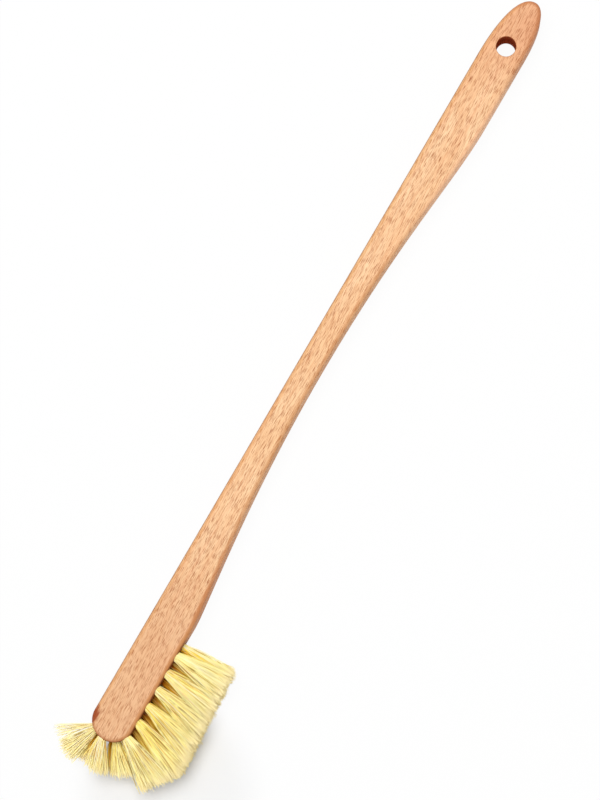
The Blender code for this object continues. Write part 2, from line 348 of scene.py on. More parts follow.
@dataclass(frozen=True)
class Beech:
    """Sanded and oiled beech, sawn flat, with the grain a little askew to the handle.

    A unit is the size of a pattern's patches along, across and through the plate. A stretch is a pair
    of places along the handle: a tint is 0 at the first and full at the second. All are in mm. In the
    lists of layers, each mask gives first where its tint comes in and last how much of it shows. The
    colours are those of the wood, the flecks and the tints that the layers lay on. Several tints are
    painted shade in whole or in part, and one is painted light.

    Attributes:
        name: Name of the material.
        specular: How strongly the oiled surface reflects.
        grain_turn: Turn that brings the grain onto the X axis.
        cloud_unit: Soft patches of paler and warmer wood.
        band_unit: Long bands of the year rings, which are turned a third as far.
        streak_unit: Fine streaks of the grain.
        fleck_unit: Long flecks of the rays.
        thin_unit: Thinner flecks between them.
        faint_unit: The finest flecks.
        dash_unit: Faint dashes all over.
        wander_unit: Patches within which the flecks shift together.
        ragged_unit: Patches that fray the rim of the red-brown patch.
        head: Stretch that turns ruddy.
        nose: Stretch that turns redder still.
        shoulder: Two stretches that bound the darker edge past the first tuft.
        grip: Two stretches that bound the painted lighter edge of the grip.
        patch_centre: Centre of the red-brown patch by the spine on the head's round end.
        patch_shrink: What the distance from it is scaled by along each axis.
        hole_centre: Axis of the hanging hole.
        hole_radius: Radius of the hanging hole.
        holed_wall: Distances from the centre line at which painted shade darkens the wall with the holes.
        relief_depth: Depth of the grain's relief, in metres.
    """

    name: str = "oiled_beech"
    specular: float = 0.16
    grain_turn: float = radians(-3.0)
    cloud_unit: Triple = (26.0, 7.0, 9.0)
    band_unit: Triple = (90.0, 2.6, 5.0)
    streak_unit: Triple = (9.0, 0.45, 1.6)
    fleck_unit: Triple = (5.2, 0.52, 3.6)
    thin_unit: Triple = (4.6, 0.46, 3.0)
    faint_unit: Triple = (4.0, 0.38, 2.6)
    dash_unit: Triple = (3.6, 0.34, 2.4)
    wander_unit: Triple = (5.0, 2.0, 4.0)
    ragged_unit: Triple = (3.0, 0.8, 2.0)
    head: Pair = (90.0, 40.0)
    nose: Pair = (300.0, 345.0)
    shoulder: tuple[Pair, Pair] = ((42.0, 58.0), (104.0, 74.0))
    grip: tuple[Pair, Pair] = ((220.0, 280.0), (325.0, 300.0))
    patch_centre: Triple = (-2.2, 8.2, 13.5)
    patch_shrink: Triple = (0.23, 0.42, 0.30)
    hole_centre: Pair = (329.5, 0.45)
    hole_radius: float = 4.2
    holed_wall: Pair = (8.7, 9.3)
    relief_depth: float = 0.00012
    pale: Colour = srgb(245, 205, 161)
    warm: Colour = srgb(239, 193, 146)
    rosy: Colour = srgb(231, 166, 124)
    ruddy: Colour = srgb(219, 166, 125)
    blush: Colour = srgb(222, 160, 119)
    fleck: Colour = srgb(152, 76, 26)
    golden: Colour = srgb(224, 160, 98)
    # Painted shade, with some of the wood's own orange, on the bristled side's round-over and wall
    shaded_band: Colour = srgb(206, 140, 86)
    russet: Colour = srgb(150, 60, 14)
    shade: Colour = srgb(212, 146, 98)
    rim: Colour = srgb(196, 124, 80)
    # Painted shade for the wall on the spine's side
    edge: Colour = srgb(168, 116, 76)
    # Painted shade for the wood between the tufts
    deep: Colour = srgb(124, 50, 4)
    # Dark end grain with painted shade, for the wall of the hanging hole
    bore: Colour = srgb(190, 96, 56)
    # Painted light that lifts the grip's edge on the bristled side out of its grey shade
    painted_light_peach: Colour = srgb(255, 196, 154)

    def material(self) -> bpy.types.Material:
        """Make the material.

        Returns:
            The material.
        """
        made = bpy.data.materials.new(self.name)
        tree = ShaderTree(made)
        clouds = tree.noise(self.grain_turn, self.cloud_unit, detail=3.0)
        streaks = tree.noise(self.grain_turn, self.streak_unit, detail=3.0, roughness=0.6)
        dashes = tree.noise(self.grain_turn, self.dash_unit, detail=1.0).over(0.5, 0.64)
        wood = tree.mix(clouds.over(0.3, 0.7), self.warm, self.pale)
        wood = tree.layered(wood, self._grain(tree, streaks))
        wood = tree.layered(wood, self._flecks(tree, dashes))
        wood = tree.layered(wood, self._edges(tree, clouds))
        wood = tree.layered(wood, self._hollows(tree))
        relief = streaks * 0.5 - dashes * 0.6 + clouds * 0.2
        tree.surface({
            "Base Color": wood,
            "Roughness": streaks.over(0.2, 0.9) * 0.16 + 0.5,
            "Specular IOR Level": self.specular,
            "Normal": tree.bump(relief, self.relief_depth, strength=0.35),
        })
        return made

    def _grain(self, tree: ShaderTree, streaks: Value) -> list[Layer]:
        """List the year rings, the streaks and the redder wood of the head and the nose.

        Args:
            tree: Nodes of the material.
            streaks: Noise of the streaks.

        Returns:
            The layers.
        """
        bands = tree.noise(self.grain_turn / 3, self.band_unit)
        towards_edge = tree.spot["Y"].over(6.0, -6.0)
        return [
            (bands.over(0.42, 0.75) * 0.4, self.rosy),
            (streaks.over(0.42, 0.75) * 0.6, self.shade),
            (tree.spot["X"].over(*self.head) * 0.45, self.ruddy),
            (tree.spot["X"].over(*self.nose) * (towards_edge * 0.3 + 0.6), self.blush),
        ]

    def _flecks(self, tree: ShaderTree, dashes: Value) -> list[Layer]:
        """List the brown dashes of the rays, the faintest first and the boldest on the spine's side.

        Args:
            tree: Nodes of the material.
            dashes: Mask of the faint dashes all over.

        Returns:
            The layers.
        """
        wander = tree.noise(self.grain_turn, self.wander_unit, detail=1.0) * 0.15
        bold = tree.normal["Y"].over(0.0, 0.3) * 0.2 + 0.68
        layers = [(dashes * 0.24, self.fleck)]
        for unit, strength in ((self.faint_unit, 0.56), (self.thin_unit, 0.64), (self.fleck_unit, bold)):
            spot = tree.vector("ADD", tree.turned(self.grain_turn, unit), wander)
            values = {"Vector": spot, "Scale": 1.0, "Randomness": 1.0}
            distance = tree.node("ShaderNodeTexVoronoi", {"feature": "F1"}, values, output="Distance")
            lot = tree.axes(distance.other("Color"))["X"]
            layers.append((distance.over(0.34, 0.2) * lot.over(-0.1, 0.7) * strength, self.fleck))
        return layers

    def _edges(self, tree: ShaderTree, clouds: Value) -> list[Layer]:
        """List the tints of the round-overs, the walls and the end grain.

        Args:
            tree: Nodes of the material.
            clouds: Soft noise that breaks up the gold of the spine's round-over.

        Returns:
            The layers.
        """
        along, facing, upward = tree.spot["X"], tree.normal["Y"], tree.normal["Z"]
        bristled = (facing * -1.0).over(0.08, 0.6)
        rounded = (upward * upward).over(0.98, 0.6)
        stem = along.over(85.0, 45.0) * 0.35 + along.over(270.0, 200.0) * 0.5
        shoulder = along.over(*self.shoulder[0]) * along.over(*self.shoulder[1])
        grip = along.over(*self.grip[0]) * along.over(*self.grip[1])
        return [
            (facing.over(0.04, 0.5) * (clouds * 0.7 + 0.05), self.golden),
            # Painted shade along the wall on the spine's side
            (facing.over(0.72, 0.96) * 0.75, self.edge),
            # Painted shade, partly the wood's own orange, on the bristled side
            (bristled * stem, self.shaded_band),
            (bristled * shoulder * 0.5, self.rim),
            # Painted light on the grip's edge on the bristled side
            (bristled * grip * 0.5, self.painted_light_peach),
            (bristled * along.over(308.0, 345.0) * 0.6, self.rim),
            (rounded * along.over(336.0, 350.0) * 0.6, self.rim),
            (abs(tree.normal["X"]).over(0.1, 0.8) * 0.75, self.rim),
        ]

    def _hollows(self, tree: ShaderTree) -> list[Layer]:
        """List the wall of the hanging hole, the red-brown patch and the painted shade between the tufts.

        Args:
            tree: Nodes of the material.

        Returns:
            The layers.
        """
        along, across = tree.spot["X"], tree.spot["Y"]
        beyond, aside = along - self.hole_centre[0], across - self.hole_centre[1]
        from_axis = (beyond * beyond + aside * aside) ** 0.5
        upright = abs(tree.normal["Z"]).over(0.75, 0.25)
        # The hole's wall darkens: partly its end grain, partly painted shade
        in_hole = from_axis.over(self.hole_radius + 0.9, self.hole_radius + 0.2) * upright

        ragged = tree.noise(self.grain_turn, self.ragged_unit, detail=3.0)
        offset = tree.vector("SUBTRACT", tree.place, self.patch_centre)
        offset = tree.vector("MULTIPLY", offset, self.patch_shrink)
        length = tree.vector("DISTANCE", offset, (0.0, 0.0, 0.0), output="Value")
        patch = (length + (ragged - 0.5) * 1.2).over(1.4, 0.7)

        round_end = along.at_most(0.0)
        from_centre = (round_end * round_end + across * across) ** 0.5
        # Painted shade on the holed wall between the tufts
        between = from_centre.over(*self.holed_wall) * along.over(47.0, 42.0) * across.over(7.0, 4.0)
        return [(in_hole * 0.95, self.bore), (patch * 0.92, self.russet), (between * 0.8, self.deep)]


@dataclass(frozen=True)
class PlantFibre:
    """Stiff natural fibre, from pale straw to gold, with painted shade at the foot, and beige where it is
    cut.

    Its UV map "fibre" says how far along its length a point is, and which lot the fibre is from. The
    UV map "cover" says how deep in the bundle the point is, which sets the painted shade there, and
    holds a random draw for each fibre. The first five colours are those of the lots, and the others
    are tints: four are painted shade, one darkens a few fibres, a random tone that also paints shadow
    lines between fibres, and two are the pale cut ends.

    Attributes:
        name: Name of the material.
        foot_shade_reach: Share of the length, from the wood, over which painted shade darkens the fibres.
        shade_reach: Share of the length over which painted shade turns them from brown gold to their own
            colour.
        side_shade_share: How much painted shade turns the fibres' flanks golden.
        sheen: Soft light that the fibres' fuzz sends back.
        blotch_unit: Size of the soft blotches along each axis, in mm.
        lots: Where the five colours from pale to amber stand among the lots.
    """

    name: str
    foot_shade_reach: float
    shade_reach: float
    side_shade_share: float
    sheen: float
    blotch_unit: Triple = (4.5, 4.5, 4.5)
    lots: tuple[float, ...] = (0.0, 0.04, 0.5, 0.8, 1.0)
    pale: Colour = srgb(255, 245, 204)
    straw: Colour = srgb(255, 246, 176)
    yellow: Colour = srgb(255, 236, 108)
    gold: Colour = srgb(255, 204, 52)
    amber: Colour = srgb(228, 152, 24)
    # A darker random tone for a few fibres, which also paints shadow lines between the fibres
    dark_streak: Colour = srgb(150, 108, 20)
    # The next four tints are painted shade: deep in the bundle, near the wood and on the flanks
    half_buried_shade: Colour = srgb(255, 214, 92)
    shade_gold: Colour = srgb(208, 136, 10)
    side: Colour = srgb(220, 164, 44)
    foot: Colour = srgb(122, 50, 0)
    cut: Colour = srgb(255, 244, 178)
    tip: Colour = srgb(255, 240, 190)

    def material(self) -> bpy.types.Material:
        """Make the material.

        Returns:
            The material.
        """
        made = bpy.data.materials.new(self.name)
        tree = ShaderTree(made)
        fibre = tree.axes(tree.node("ShaderNodeUVMap", {"uv_map": "fibre"}))
        bundle = tree.axes(tree.node("ShaderNodeUVMap", {"uv_map": "cover"}))
        along, lot, cover, fibre_draw = fibre["X"], fibre["Y"], bundle["X"], bundle["Y"]
        blotch = tree.noise(0.0, self.blotch_unit, detail=1.0)
        stops = tuple(zip(self.lots, (self.pale, self.straw, self.yellow, self.gold, self.amber)))
        colour = tree.node("ShaderNodeValToRGB", {"stops": stops}, {0: lot})
        colour = tree.layered(colour, [
            (blotch.over(0.5, 0.85) * 0.3, self.gold),
            # A few fibres darker: random tone that also paints shadow lines between fibres
            (fibre_draw.over(0.82, 0.94) * blotch.over(0.38, 0.55) * 0.75, self.dark_streak),
            # Painted shade: points buried in the bundle turn gold, then brown gold
            (cover.over(0.0, 0.5) * 0.5, self.half_buried_shade),
            (cover.over(0.3, 1.0) * (0.85 - along.over(0.6, 1.0) * 0.6), self.shade_gold),
        ])
        # Painted shade: facets that face sideways, most of all those turned from the grip, go golden
        sideways = abs(tree.normal["Z"]).over(0.8, 0.15)
        averted = tree.normal["X"].over(0.7, -0.3)
        uneven = fibre_draw * 0.8 + 0.4
        colour = tree.layered(colour, [
            (sideways * averted * self.side_shade_share, self.side),
            # Painted shade near the wood: brown gold and then dark brown at the foot, uneven from fibre to
            # fibre
            (along.over(self.shade_reach, 0.08) * uneven * 0.9, self.shade_gold),
            (along.over(self.foot_shade_reach, 0.05) * uneven, self.foot),
            (along.over(0.45, 1.0) * (0.95 - fibre_draw * 0.5), self.cut),
            (along.over(0.84, 0.98) * 0.75, self.tip),
        ])
        tree.surface({
            "Base Color": colour,
            "Roughness": blotch * 0.2 + 0.5,
            "Specular IOR Level": self.sheen / 3,
            "Sheen Weight": self.sheen,
            "Sheen Roughness": 0.5,
            "Sheen Tint": self.straw,
        })
        return made


@dataclass(frozen=True)
class FlatWire:
    """Bright drawn wire with fine lengthwise scratches, which are duller than the rest.

    Attributes:
        name: Name of the material.
        scratch_unit: Size of a scratch along each axis, in mm.
        scratch_depth: Depth of the scratches, in metres.
    """

    name: str = "bright_flat_wire"
    scratch_unit: Triple = (1.2, 0.05, 0.05)
    scratch_depth: float = 0.00002
    bright: Colour = srgb(198, 200, 203)
    dull: Colour = srgb(150, 151, 153)

    def material(self) -> bpy.types.Material:
        """Make the material.

        Returns:
            The material.
        """
        made = bpy.data.materials.new(self.name)
        tree = ShaderTree(made)
        scratches = tree.noise(0.0, self.scratch_unit, detail=3.0)
        tree.surface({
            "Base Color": tree.mix(scratches.over(0.4, 0.8), self.bright, self.dull),
            "Metallic": 1.0,
            "Roughness": scratches * 0.25 + 0.22,
            "Normal": tree.bump(scratches, self.scratch_depth, strength=0.4),
        })
        return made


# Modelling by hand


class Part(Enum):
    """What is selected in edit mode."""

    EDGES = "EDGE"
    FACES = "FACE"


def hold(*items: bpy.types.Object) -> None:
    """Select the given objects alone and make the first the active one.

    Args:
        items: The objects.
    """
    bpy.ops.object.select_all(action="DESELECT")
    for item in items:
        item.select_set(True)
    bpy.context.view_layer.objects.active = items[0]


@contextmanager
def editing(item: bpy.types.Object) -> Iterator[None]:
    """Work on one object in edit mode, with nothing selected at first.

    Args:
        item: The object.

    Yields:
        Nothing, while the object is in edit mode.
    """
    hold(item)
    bpy.ops.object.mode_set(mode="EDIT")
    bpy.ops.mesh.select_all(action="DESELECT")
    yield
    bpy.ops.object.mode_set(mode="OBJECT")


def pick(item: bpy.types.Object, part: Part, test: Callable) -> None:
    """Select, in edit mode, the edges or faces that pass a test, and nothing else.

    Args:
        item: The object that is edited.
        part: What to select.
        test: Says of each one whether it is wanted.
    """
    bpy.ops.mesh.select_mode(type=part.value)
    bpy.ops.mesh.select_all(action="DESELECT")
    shape = bmesh.from_edit_mesh(item.data)
    for one in shape.edges if part is Part.EDGES else shape.faces:
        if test(one):
            one.select_set(True)
    shape.select_flush_mode()
    bmesh.update_edit_mesh(item.data)


def extrude(move: Sequence[float], scale: float = 1.0) -> None:
    """Extrude the selected faces, then scale them about the Z axis.

    Args:
        move: How far, along each axis.
        scale: What their X and Y are scaled by.
    """
    bpy.ops.mesh.extrude_region_move(TRANSFORM_OT_translate={"value": tuple(move)})
    if scale != 1.0:
        bpy.ops.transform.resize(value=(scale, scale, 1.0), center_override=(0.0, 0.0, 0.0))


def primitive(add: Callable, **settings: object) -> bpy.types.Object:
    """Add a primitive of Blender's with nothing else selected.

    Args:
        add: The operator that adds it.
        settings: Its options.

    Returns:
        The new object.
    """
    bpy.ops.object.select_all(action="DESELECT")
    add(**settings)
    return bpy.context.object


def apply_modifier(item: bpy.types.Object, kind: str, **settings: object) -> None:
    """Add a modifier with the given settings and apply it.

    Args:
        item: The object that takes it.
        kind: The modifier's type.
        settings: Its options.
    """
    hold(item)
    modifier = item.modifiers.new(kind.lower(), kind)
    for name, choice in settings.items():
        setattr(modifier, name, choice)
    bpy.ops.object.modifier_apply(modifier=modifier.name)


def cut_with(item: bpy.types.Object, cutter: bpy.types.Object, operation: str = "DIFFERENCE") -> None:
    """Join a cutter to an object by a Boolean, and throw the cutter away."""
    apply_modifier(item, "BOOLEAN", operation=operation, solver="EXACT", object=cutter)
    bpy.data.objects.remove(cutter, do_unlink=True)


def settle(item: bpy.types.Object, name: str) -> bpy.types.Object:
    """Put an object's place into its mesh and name it.

    Args:
        item: The finished object.
        name: Its name.

    Returns:
        The same object.
    """
    hold(item)
    bpy.ops.object.transform_apply(location=True, rotation=True, scale=True)
    item.name = name
    item.data.name = name
    return item


def copy_of(item: bpy.types.Object, frame: Matrix) -> bpy.types.Object:
    """Copy an object with its own mesh and stand it in a frame.

    Args:
        item: What is copied.
        frame: Where the copy stands.

    Returns:
        The copy.
    """
    twin = item.copy()
    twin.data = item.data.copy()
    twin.matrix_world = frame @ item.matrix_world
    bpy.context.scene.collection.objects.link(twin)
    return twin


def joined(items: Sequence[bpy.types.Object]) -> bpy.types.Object:
    """Join several objects into the first one.

    Args:
        items: The objects.

    Returns:
        The first of them.
    """
    hold(*items)
    bpy.ops.object.join()
    return items[0]


def dress(item: bpy.types.Object, material: bpy.types.Material) -> None:
    """Give all of an object's faces one material.

    Args:
        item: The object.
        material: Its material.
    """
    item.data.materials.clear()
    item.data.materials.append(material)
    item.data.polygons.foreach_set("material_index", [0] * len(item.data.polygons))


def unit(vectors: np.ndarray) -> np.ndarray:
    """Scale vectors to a length of 1."""
    return vectors / np.linalg.norm(vectors, axis=-1)[..., None]


def at_level(across: np.ndarray, level: float) -> np.ndarray:
    """Lift points of a hole's mouth to one level over it."""
    return np.column_stack((across, np.full(len(across), level)))


# Where the tufts stand


class Row(Enum):
    """The three rows of tufts, each with its height over the rear face in metres."""

    FRONT = 0.01245
    MIDDLE = 0.00775
    REAR = 0.00305


class Trim(Enum):
    """The two cuts of the bristles."""

    LONG = "side and corner planes"
    SHORT = "round the end of the head"


@dataclass(frozen=True)
class Station:
    """Where one tuft stands on the head, and how its fibres fan out from there.

    Attributes:
        number: Count within the row, from the grip side.
        row: The row.
        arc: Arc length along the edge, negative round the end of the head.
        drift: How far the tips drift along the edge, towards the end of the head.
        reach: How far the bristles stand out before they are trimmed.
        trim: Which cut ends them.
        tone: Shade of the fibres, from 0 for pale to 1 for amber.
        spread: How far the tips spread to either side of the tuft's middle, along the edge.
        fibres: How many fibres stand out of the hole.
        wisps: How many of them stray far to the spine's side.
        shaded_flank: How much painted shade darkens the fibres on the side towards the end of the head.
        grip_side: How much of its spread the fan's half towards the grip takes up.
    """

    number: int
    row: Row
    arc: float
    drift: float
    reach: float
    trim: Trim
    tone: float
    spread: float
    fibres: int = 200
    wisps: int = 0
    shaded_flank: float = 0.0
    grip_side: float = 1.0

    @property
    def lit(self) -> bool:
        """Whether the tuft stands free enough to be seen in full light."""
        return self.tone < LIT_TONE

    @property
    def label(self) -> str:
        """Row and number, as in the CAD nodes' names."""
        return f"{self.row.name.lower()}_{self.number}"


@dataclass(frozen=True)
class HeadPattern:
    """Pattern of the tufts along the bristled edge and round the end of the head.

    Attributes:
        head_radius: Radius of the head's round end, which is half the head's width.
        first_tuft: Arc length at which the first tuft stands.
        pitch: Distance between the tufts of a row.
        middle_side_tufts: Number of side tufts in the middle row, which starts with the first tuft.
        outer_side_tufts: Number in the other rows, which start half a pitch later.
        side_trim: Reach of the plane that cuts the bristles along the side.
        side_facing: Turn of that plane from the edge's own direction.
        corner_trim: Reach of the plane that cuts the corner.
        corner_facing: Turn of that plane.
        tip_drift: How far the tips drift at the start of the round end.
        side_spread: Spread of the front row's side tufts.
        side_fibres: Number of their fibres.
        under_spread: Spread of the side tufts in the rows below.
        under_fibres: Number of their fibres.
        side_hole_depth: Depth of the holes along the side.
        end_hole_depth: Depth of the holes round the end, which converge.
        side_tones: Shade of each row's side tufts at the start of the round end, darker in the lower rows as
            painted shade.
        tone_fall: How much paler they are by the grip.
        first_tone: Shade of the first tuft.
        first_spread: Spread of the first tuft.
        first_shaded_flank: How much painted shade darkens it towards the end of the head.
        first_grip_side: How much of its spread it takes up towards the grip.
    """

    head_radius: float = 0.0094
    first_tuft: float = 0.0410
    pitch: float = 0.0081
    middle_side_tufts: int = 6
    outer_side_tufts: int = 5
    side_trim: float = 0.0268
    side_facing: float = radians(-2.9)
    corner_trim: float = 0.0236
    corner_facing: float = radians(36)
    tip_drift: float = 0.0108
    side_spread: float = 0.0068
    side_fibres: int = 200
    under_spread: float = 0.0080
    under_fibres: int = 260
    side_hole_depth: float = 0.0065
    end_hole_depth: float = 0.0038
    side_tones: dict = field(default_factory=lambda: {Row.FRONT: 0.32, Row.MIDDLE: 0.66, Row.REAR: 0.74})
    tone_fall: float = 0.16
    first_tone: float = 0.1
    first_spread: float = 0.0046
    first_shaded_flank: float = 1.0
    first_grip_side: float = 0.4

    def stations(self) -> list[Station]:
        """List the places of all the tufts, row by row.

        Returns:
            The places.
        """
        return [place for row in Row for place in self._side(row) + self._end(row)]

    def _side_tufts(self, row: Row) -> int:
        """Give the number of side tufts in a row."""
        return self.middle_side_tufts if row is Row.MIDDLE else self.outer_side_tufts

    def _side(self, row: Row) -> list[Station]:
        """List the side tufts of a row.

        Args:
            row: The row.

        Returns:
            Their places, from the grip side.
        """
        shift = 0.0 if row is Row.MIDDLE else 0.5
        places = []
        for index in range(self._side_tufts(row)):
            arc = self.first_tuft - (index + shift) * self.pitch
            drift = self.tip_drift * (1 - arc / self.first_tuft)
            tone = self.side_tones[row] - self.tone_fall * arc / self.first_tuft
            spread = self.side_spread if row is Row.FRONT else self.under_spread
            fibres = self.side_fibres if row is Row.FRONT else self.under_fibres
            shaded_flank, grip_side = 0.0, 1.0
            if arc == self.first_tuft:
                tone, spread = self.first_tone, self.first_spread
                shaded_flank, grip_side = self.first_shaded_flank, self.first_grip_side
            shape = (drift, self.side_trim, Trim.LONG, tone, spread, fibres, 0, shaded_flank, grip_side)
            places.append(Station(index + 1, row, arc, *shape))
        return places

    def _end(self, row: Row) -> list[Station]:
        """List the tufts of a row round the end of the head.

        Args:
            row: The row.

        Returns:
            Their places, from the bristled edge to the spine.
        """
        # Degrees round the end, drift, reach, trim, tone and spread, then fibres and wisps
        ends = {
            Row.FRONT: (
                (24, 0.0008, self.side_trim, Trim.LONG, 0.26, 0.0084),
                (95, -0.0068, 0.0144, Trim.SHORT, 0.06, 0.0046, 160),
            ),
            Row.MIDDLE: (
                (56, -0.0042, 0.0157, Trim.SHORT, 0.36, 0.0076),
                (125, -0.0030, 0.0178, Trim.SHORT, 0.06, 0.0062, 140, 16),
            ),
            Row.REAR: (
                (24, 0.0046, self.side_trim, Trim.LONG, 0.6, 0.0070),
                (69, -0.0046, 0.0152, Trim.SHORT, 0.72, 0.0056),
                (110, -0.0040, 0.0150, Trim.SHORT, 0.78, 0.0056),
            ),
        }
        first = self._side_tufts(row) + 1
        return [Station(number, row, -radians(degrees) * self.head_radius, *shape)
                for number, (degrees, *shape) in enumerate(ends[row], start=first)]

    def frame(self, place: Station) -> Matrix:
        """Give the frame at the mouth of a hole: X along the edge, Y up, Z out of the wood.

        Args:
            place: The tuft's station.

        Returns:
            The frame.
        """
        angle = min(max(-place.arc / self.head_radius, 0.0), pi)
        mouth = Vector((
            max(place.arc, 0.0) - self.head_radius * sin(angle),
            -self.head_radius * cos(angle),
            place.row.value,
        ))
        return Matrix.Translation(mouth) @ Matrix.Rotation(-angle, 4, "Z") @ Matrix.Rotation(pi / 2, 4, "X")

    def hole_depth(self, place: Station) -> float:
        """Holes that converge inside the round end are shallow."""
        return self.side_hole_depth if place.arc >= 0 else self.end_hole_depth

    def trimmed(self, place: Station, feet: np.ndarray, tips: np.ndarray) -> np.ndarray:
        """Cut the ends of a tuft's fibres to the trim.

        Args:
            place: The tuft's station.
            feet: Where the fibres leave the wood, in the frame of the hole.
            tips: Where they point to.

        Returns:
            Their ends, in the frame of the hole.
        """
        if place.trim is Trim.SHORT:
            rise = np.sqrt((self.head_radius + tips[:, 2]) ** 2 - tips[:, 0] ** 2) - self.head_radius
            return np.column_stack((tips[:, 0], tips[:, 1], rise))
        frame = np.array(self.frame(place))
        shares = []
        for reach, facing in ((self.side_trim, self.side_facing), (self.corner_trim, self.corner_facing)):
            normal = np.array((-sin(facing), -cos(facing), 0.0))
            room = self.head_radius + reach - (feet @ frame[:3, :3].T + frame[:3, 3]) @ normal
            gain = ((tips - feet) @ frame[:3, :3].T) @ normal
            shares.append(room / gain)
        return feet + (tips - feet) * np.minimum(*shares)[:, None]


# The handle


@dataclass
class Handle:
    """One flat plate of beech with rounded edges, a narrow neck and a hanging hole in the grip.

    Attributes:
        pattern: Pattern of the tufts.
        thickness: Thickness of the plate.
        neck_edge: How far the bristled edge is from the centre line of the head at the neck.
        grip_edge: The same at the grip.
        taper_start: Where the head starts to narrow.
        neck: Where the handle is narrowest.
        grip_start: Where the grip's bristled edge runs straight.
        grip_end: End of the grip.
        head_shoulder: Pull of the curve where it leaves the head.
        neck_sweep: Pull of the curve at the neck.
        grip_shoulder: Pull of the curve where it meets the grip.
        straight_pull: Pull of a curve's handle along a straight stretch.
        nose_spine: Length of the rounded end on the spine's side.
        nose_edge: Its length on the other side.
        nose_tip: How far its tip is from the centre line of the head.
        nose_tangent: How far its curves keep along the handle.
        nose_bluntness: How far they keep across it.
        edge_round: Radius of the round-over.
        round_steps: Steps of the round-over.
        round_angle: Least turn of an edge that is rounded over.
        smooth_angle: Most that a surface turns at an edge and still looks smooth.
        outline_steps: Steps of each curve of the outline.
        hang_hole: Place of the hanging hole.
        hang_radius: Radius of the hanging hole.
        hang_rim: How much its rims are broken.
        hang_rim_steps: Steps of a broken rim.
        hang_sides: Sides of the hanging hole.
        hole_radius: Radius of a tuft hole.
        hole_sides: Sides of a tuft hole.
        mouth_radius: Radius of its flared mouth.
        mouth_depth: Depth of the flare.
        mouth_flare: How much wider still the drill gets outside the wood.
        slot: Length, width and height of the slot for a wire.
    """

    pattern: HeadPattern
    thickness: float = 0.0155
    neck_edge: float = 0.0011
    grip_edge: float = 0.0085
    taper_start: float = 0.0500
    neck: float = 0.1720
    grip_start: float = 0.2960
    grip_end: float = 0.3518
    head_shoulder: float = 0.0100
    neck_sweep: float = 0.0660
    grip_shoulder: float = 0.0250
    straight_pull: float = 0.0100
    nose_spine: float = 0.0300
    nose_edge: float = 0.0220
    nose_tip: float = -0.00085
    nose_tangent: float = 0.55
    nose_bluntness: float = 0.70
    edge_round: float = 0.0024
    round_steps: int = 8
    round_angle: float = radians(60)
    smooth_angle: float = radians(38)
    outline_steps: int = 28
    hang_hole: Pair = (0.3295, 0.00045)
    hang_radius: float = 0.0042
    hang_rim: float = 0.00035
    hang_rim_steps: int = 4
    hang_sides: int = 72
    hole_radius: float = 0.0020
    hole_sides: int = 28
    mouth_radius: float = 0.00205
    mouth_depth: float = 0.0005
    mouth_flare: float = 1.15
    slot: Triple = (0.00536, 0.0010, 0.0029)

    def build(self) -> bpy.types.Object:
        """Saw the plate, round it over, bore it and smooth it.

        Returns:
            The handle.
        """
        plate = self._plate()
        apply_modifier(plate, "BEVEL", width=self.edge_round, segments=self.round_steps,
                       limit_method="ANGLE", angle_limit=self.round_angle, use_clamp_overlap=False)
        self._bore_hanging_hole(plate)
        cut_with(plate, self._drills())
        settle(plate, "beech_handle")
        hold(plate)
        bpy.ops.object.shade_smooth_by_angle(angle=self.smooth_angle)
        apply_modifier(plate, "WEIGHTED_NORMAL", mode="FACE_AREA", weight=80, keep_sharp=True)
        dress(plate, Beech().material())
        self._dress_bore(plate, Beech(name="oiled_beech_bore", specular=0.0).material())
        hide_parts("handle")
        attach(plate, "root")
        return plate

    def _knots(self) -> list[tuple]:
        """Place the outline's knots, from the head's spine side round to the grip's.

        Returns:
            For each knot the curve's handle before it, its place and the handle after it.
        """
        radius, quarter = self.pattern.head_radius, self.pattern.head_radius * QUARTER_CIRCLE
        grip, tip, end, pull = self.grip_edge, self.nose_tip, self.grip_end, self.straight_pull
        edge_start = end - self.nose_edge
        spine_start = end - self.nose_spine
        edge_pull = self.nose_edge * self.nose_tangent
        spine_pull = self.nose_spine * self.nose_tangent
        blunt_edge = tip - (tip + grip) * self.nose_bluntness
        blunt_spine = tip + (radius - tip) * self.nose_bluntness
        return [
            ((radius, radius), (0.0, radius), (-quarter, radius)),
            ((-radius, quarter), (-radius, 0.0), (-radius, -quarter)),
            ((-quarter, -radius), (0.0, -radius), (pull, -radius)),
            ((self.taper_start - pull, -radius), (self.taper_start, -radius),
             (self.taper_start + self.head_shoulder, -radius)),
            ((self.neck - self.neck_sweep, -self.neck_edge), (self.neck, -self.neck_edge),
             (self.neck + self.neck_sweep, -self.neck_edge)),
            ((self.grip_start - self.grip_shoulder, -grip), (self.grip_start, -grip),
             (self.grip_start + pull, -grip)),
            ((edge_start - pull, -grip), (edge_start, -grip), (edge_start + edge_pull, -grip)),
            ((end, blunt_edge), (end, tip), (end, blunt_spine)),
            ((spine_start + spine_pull, radius), (spine_start, radius), (spine_start - pull, radius)),
        ]

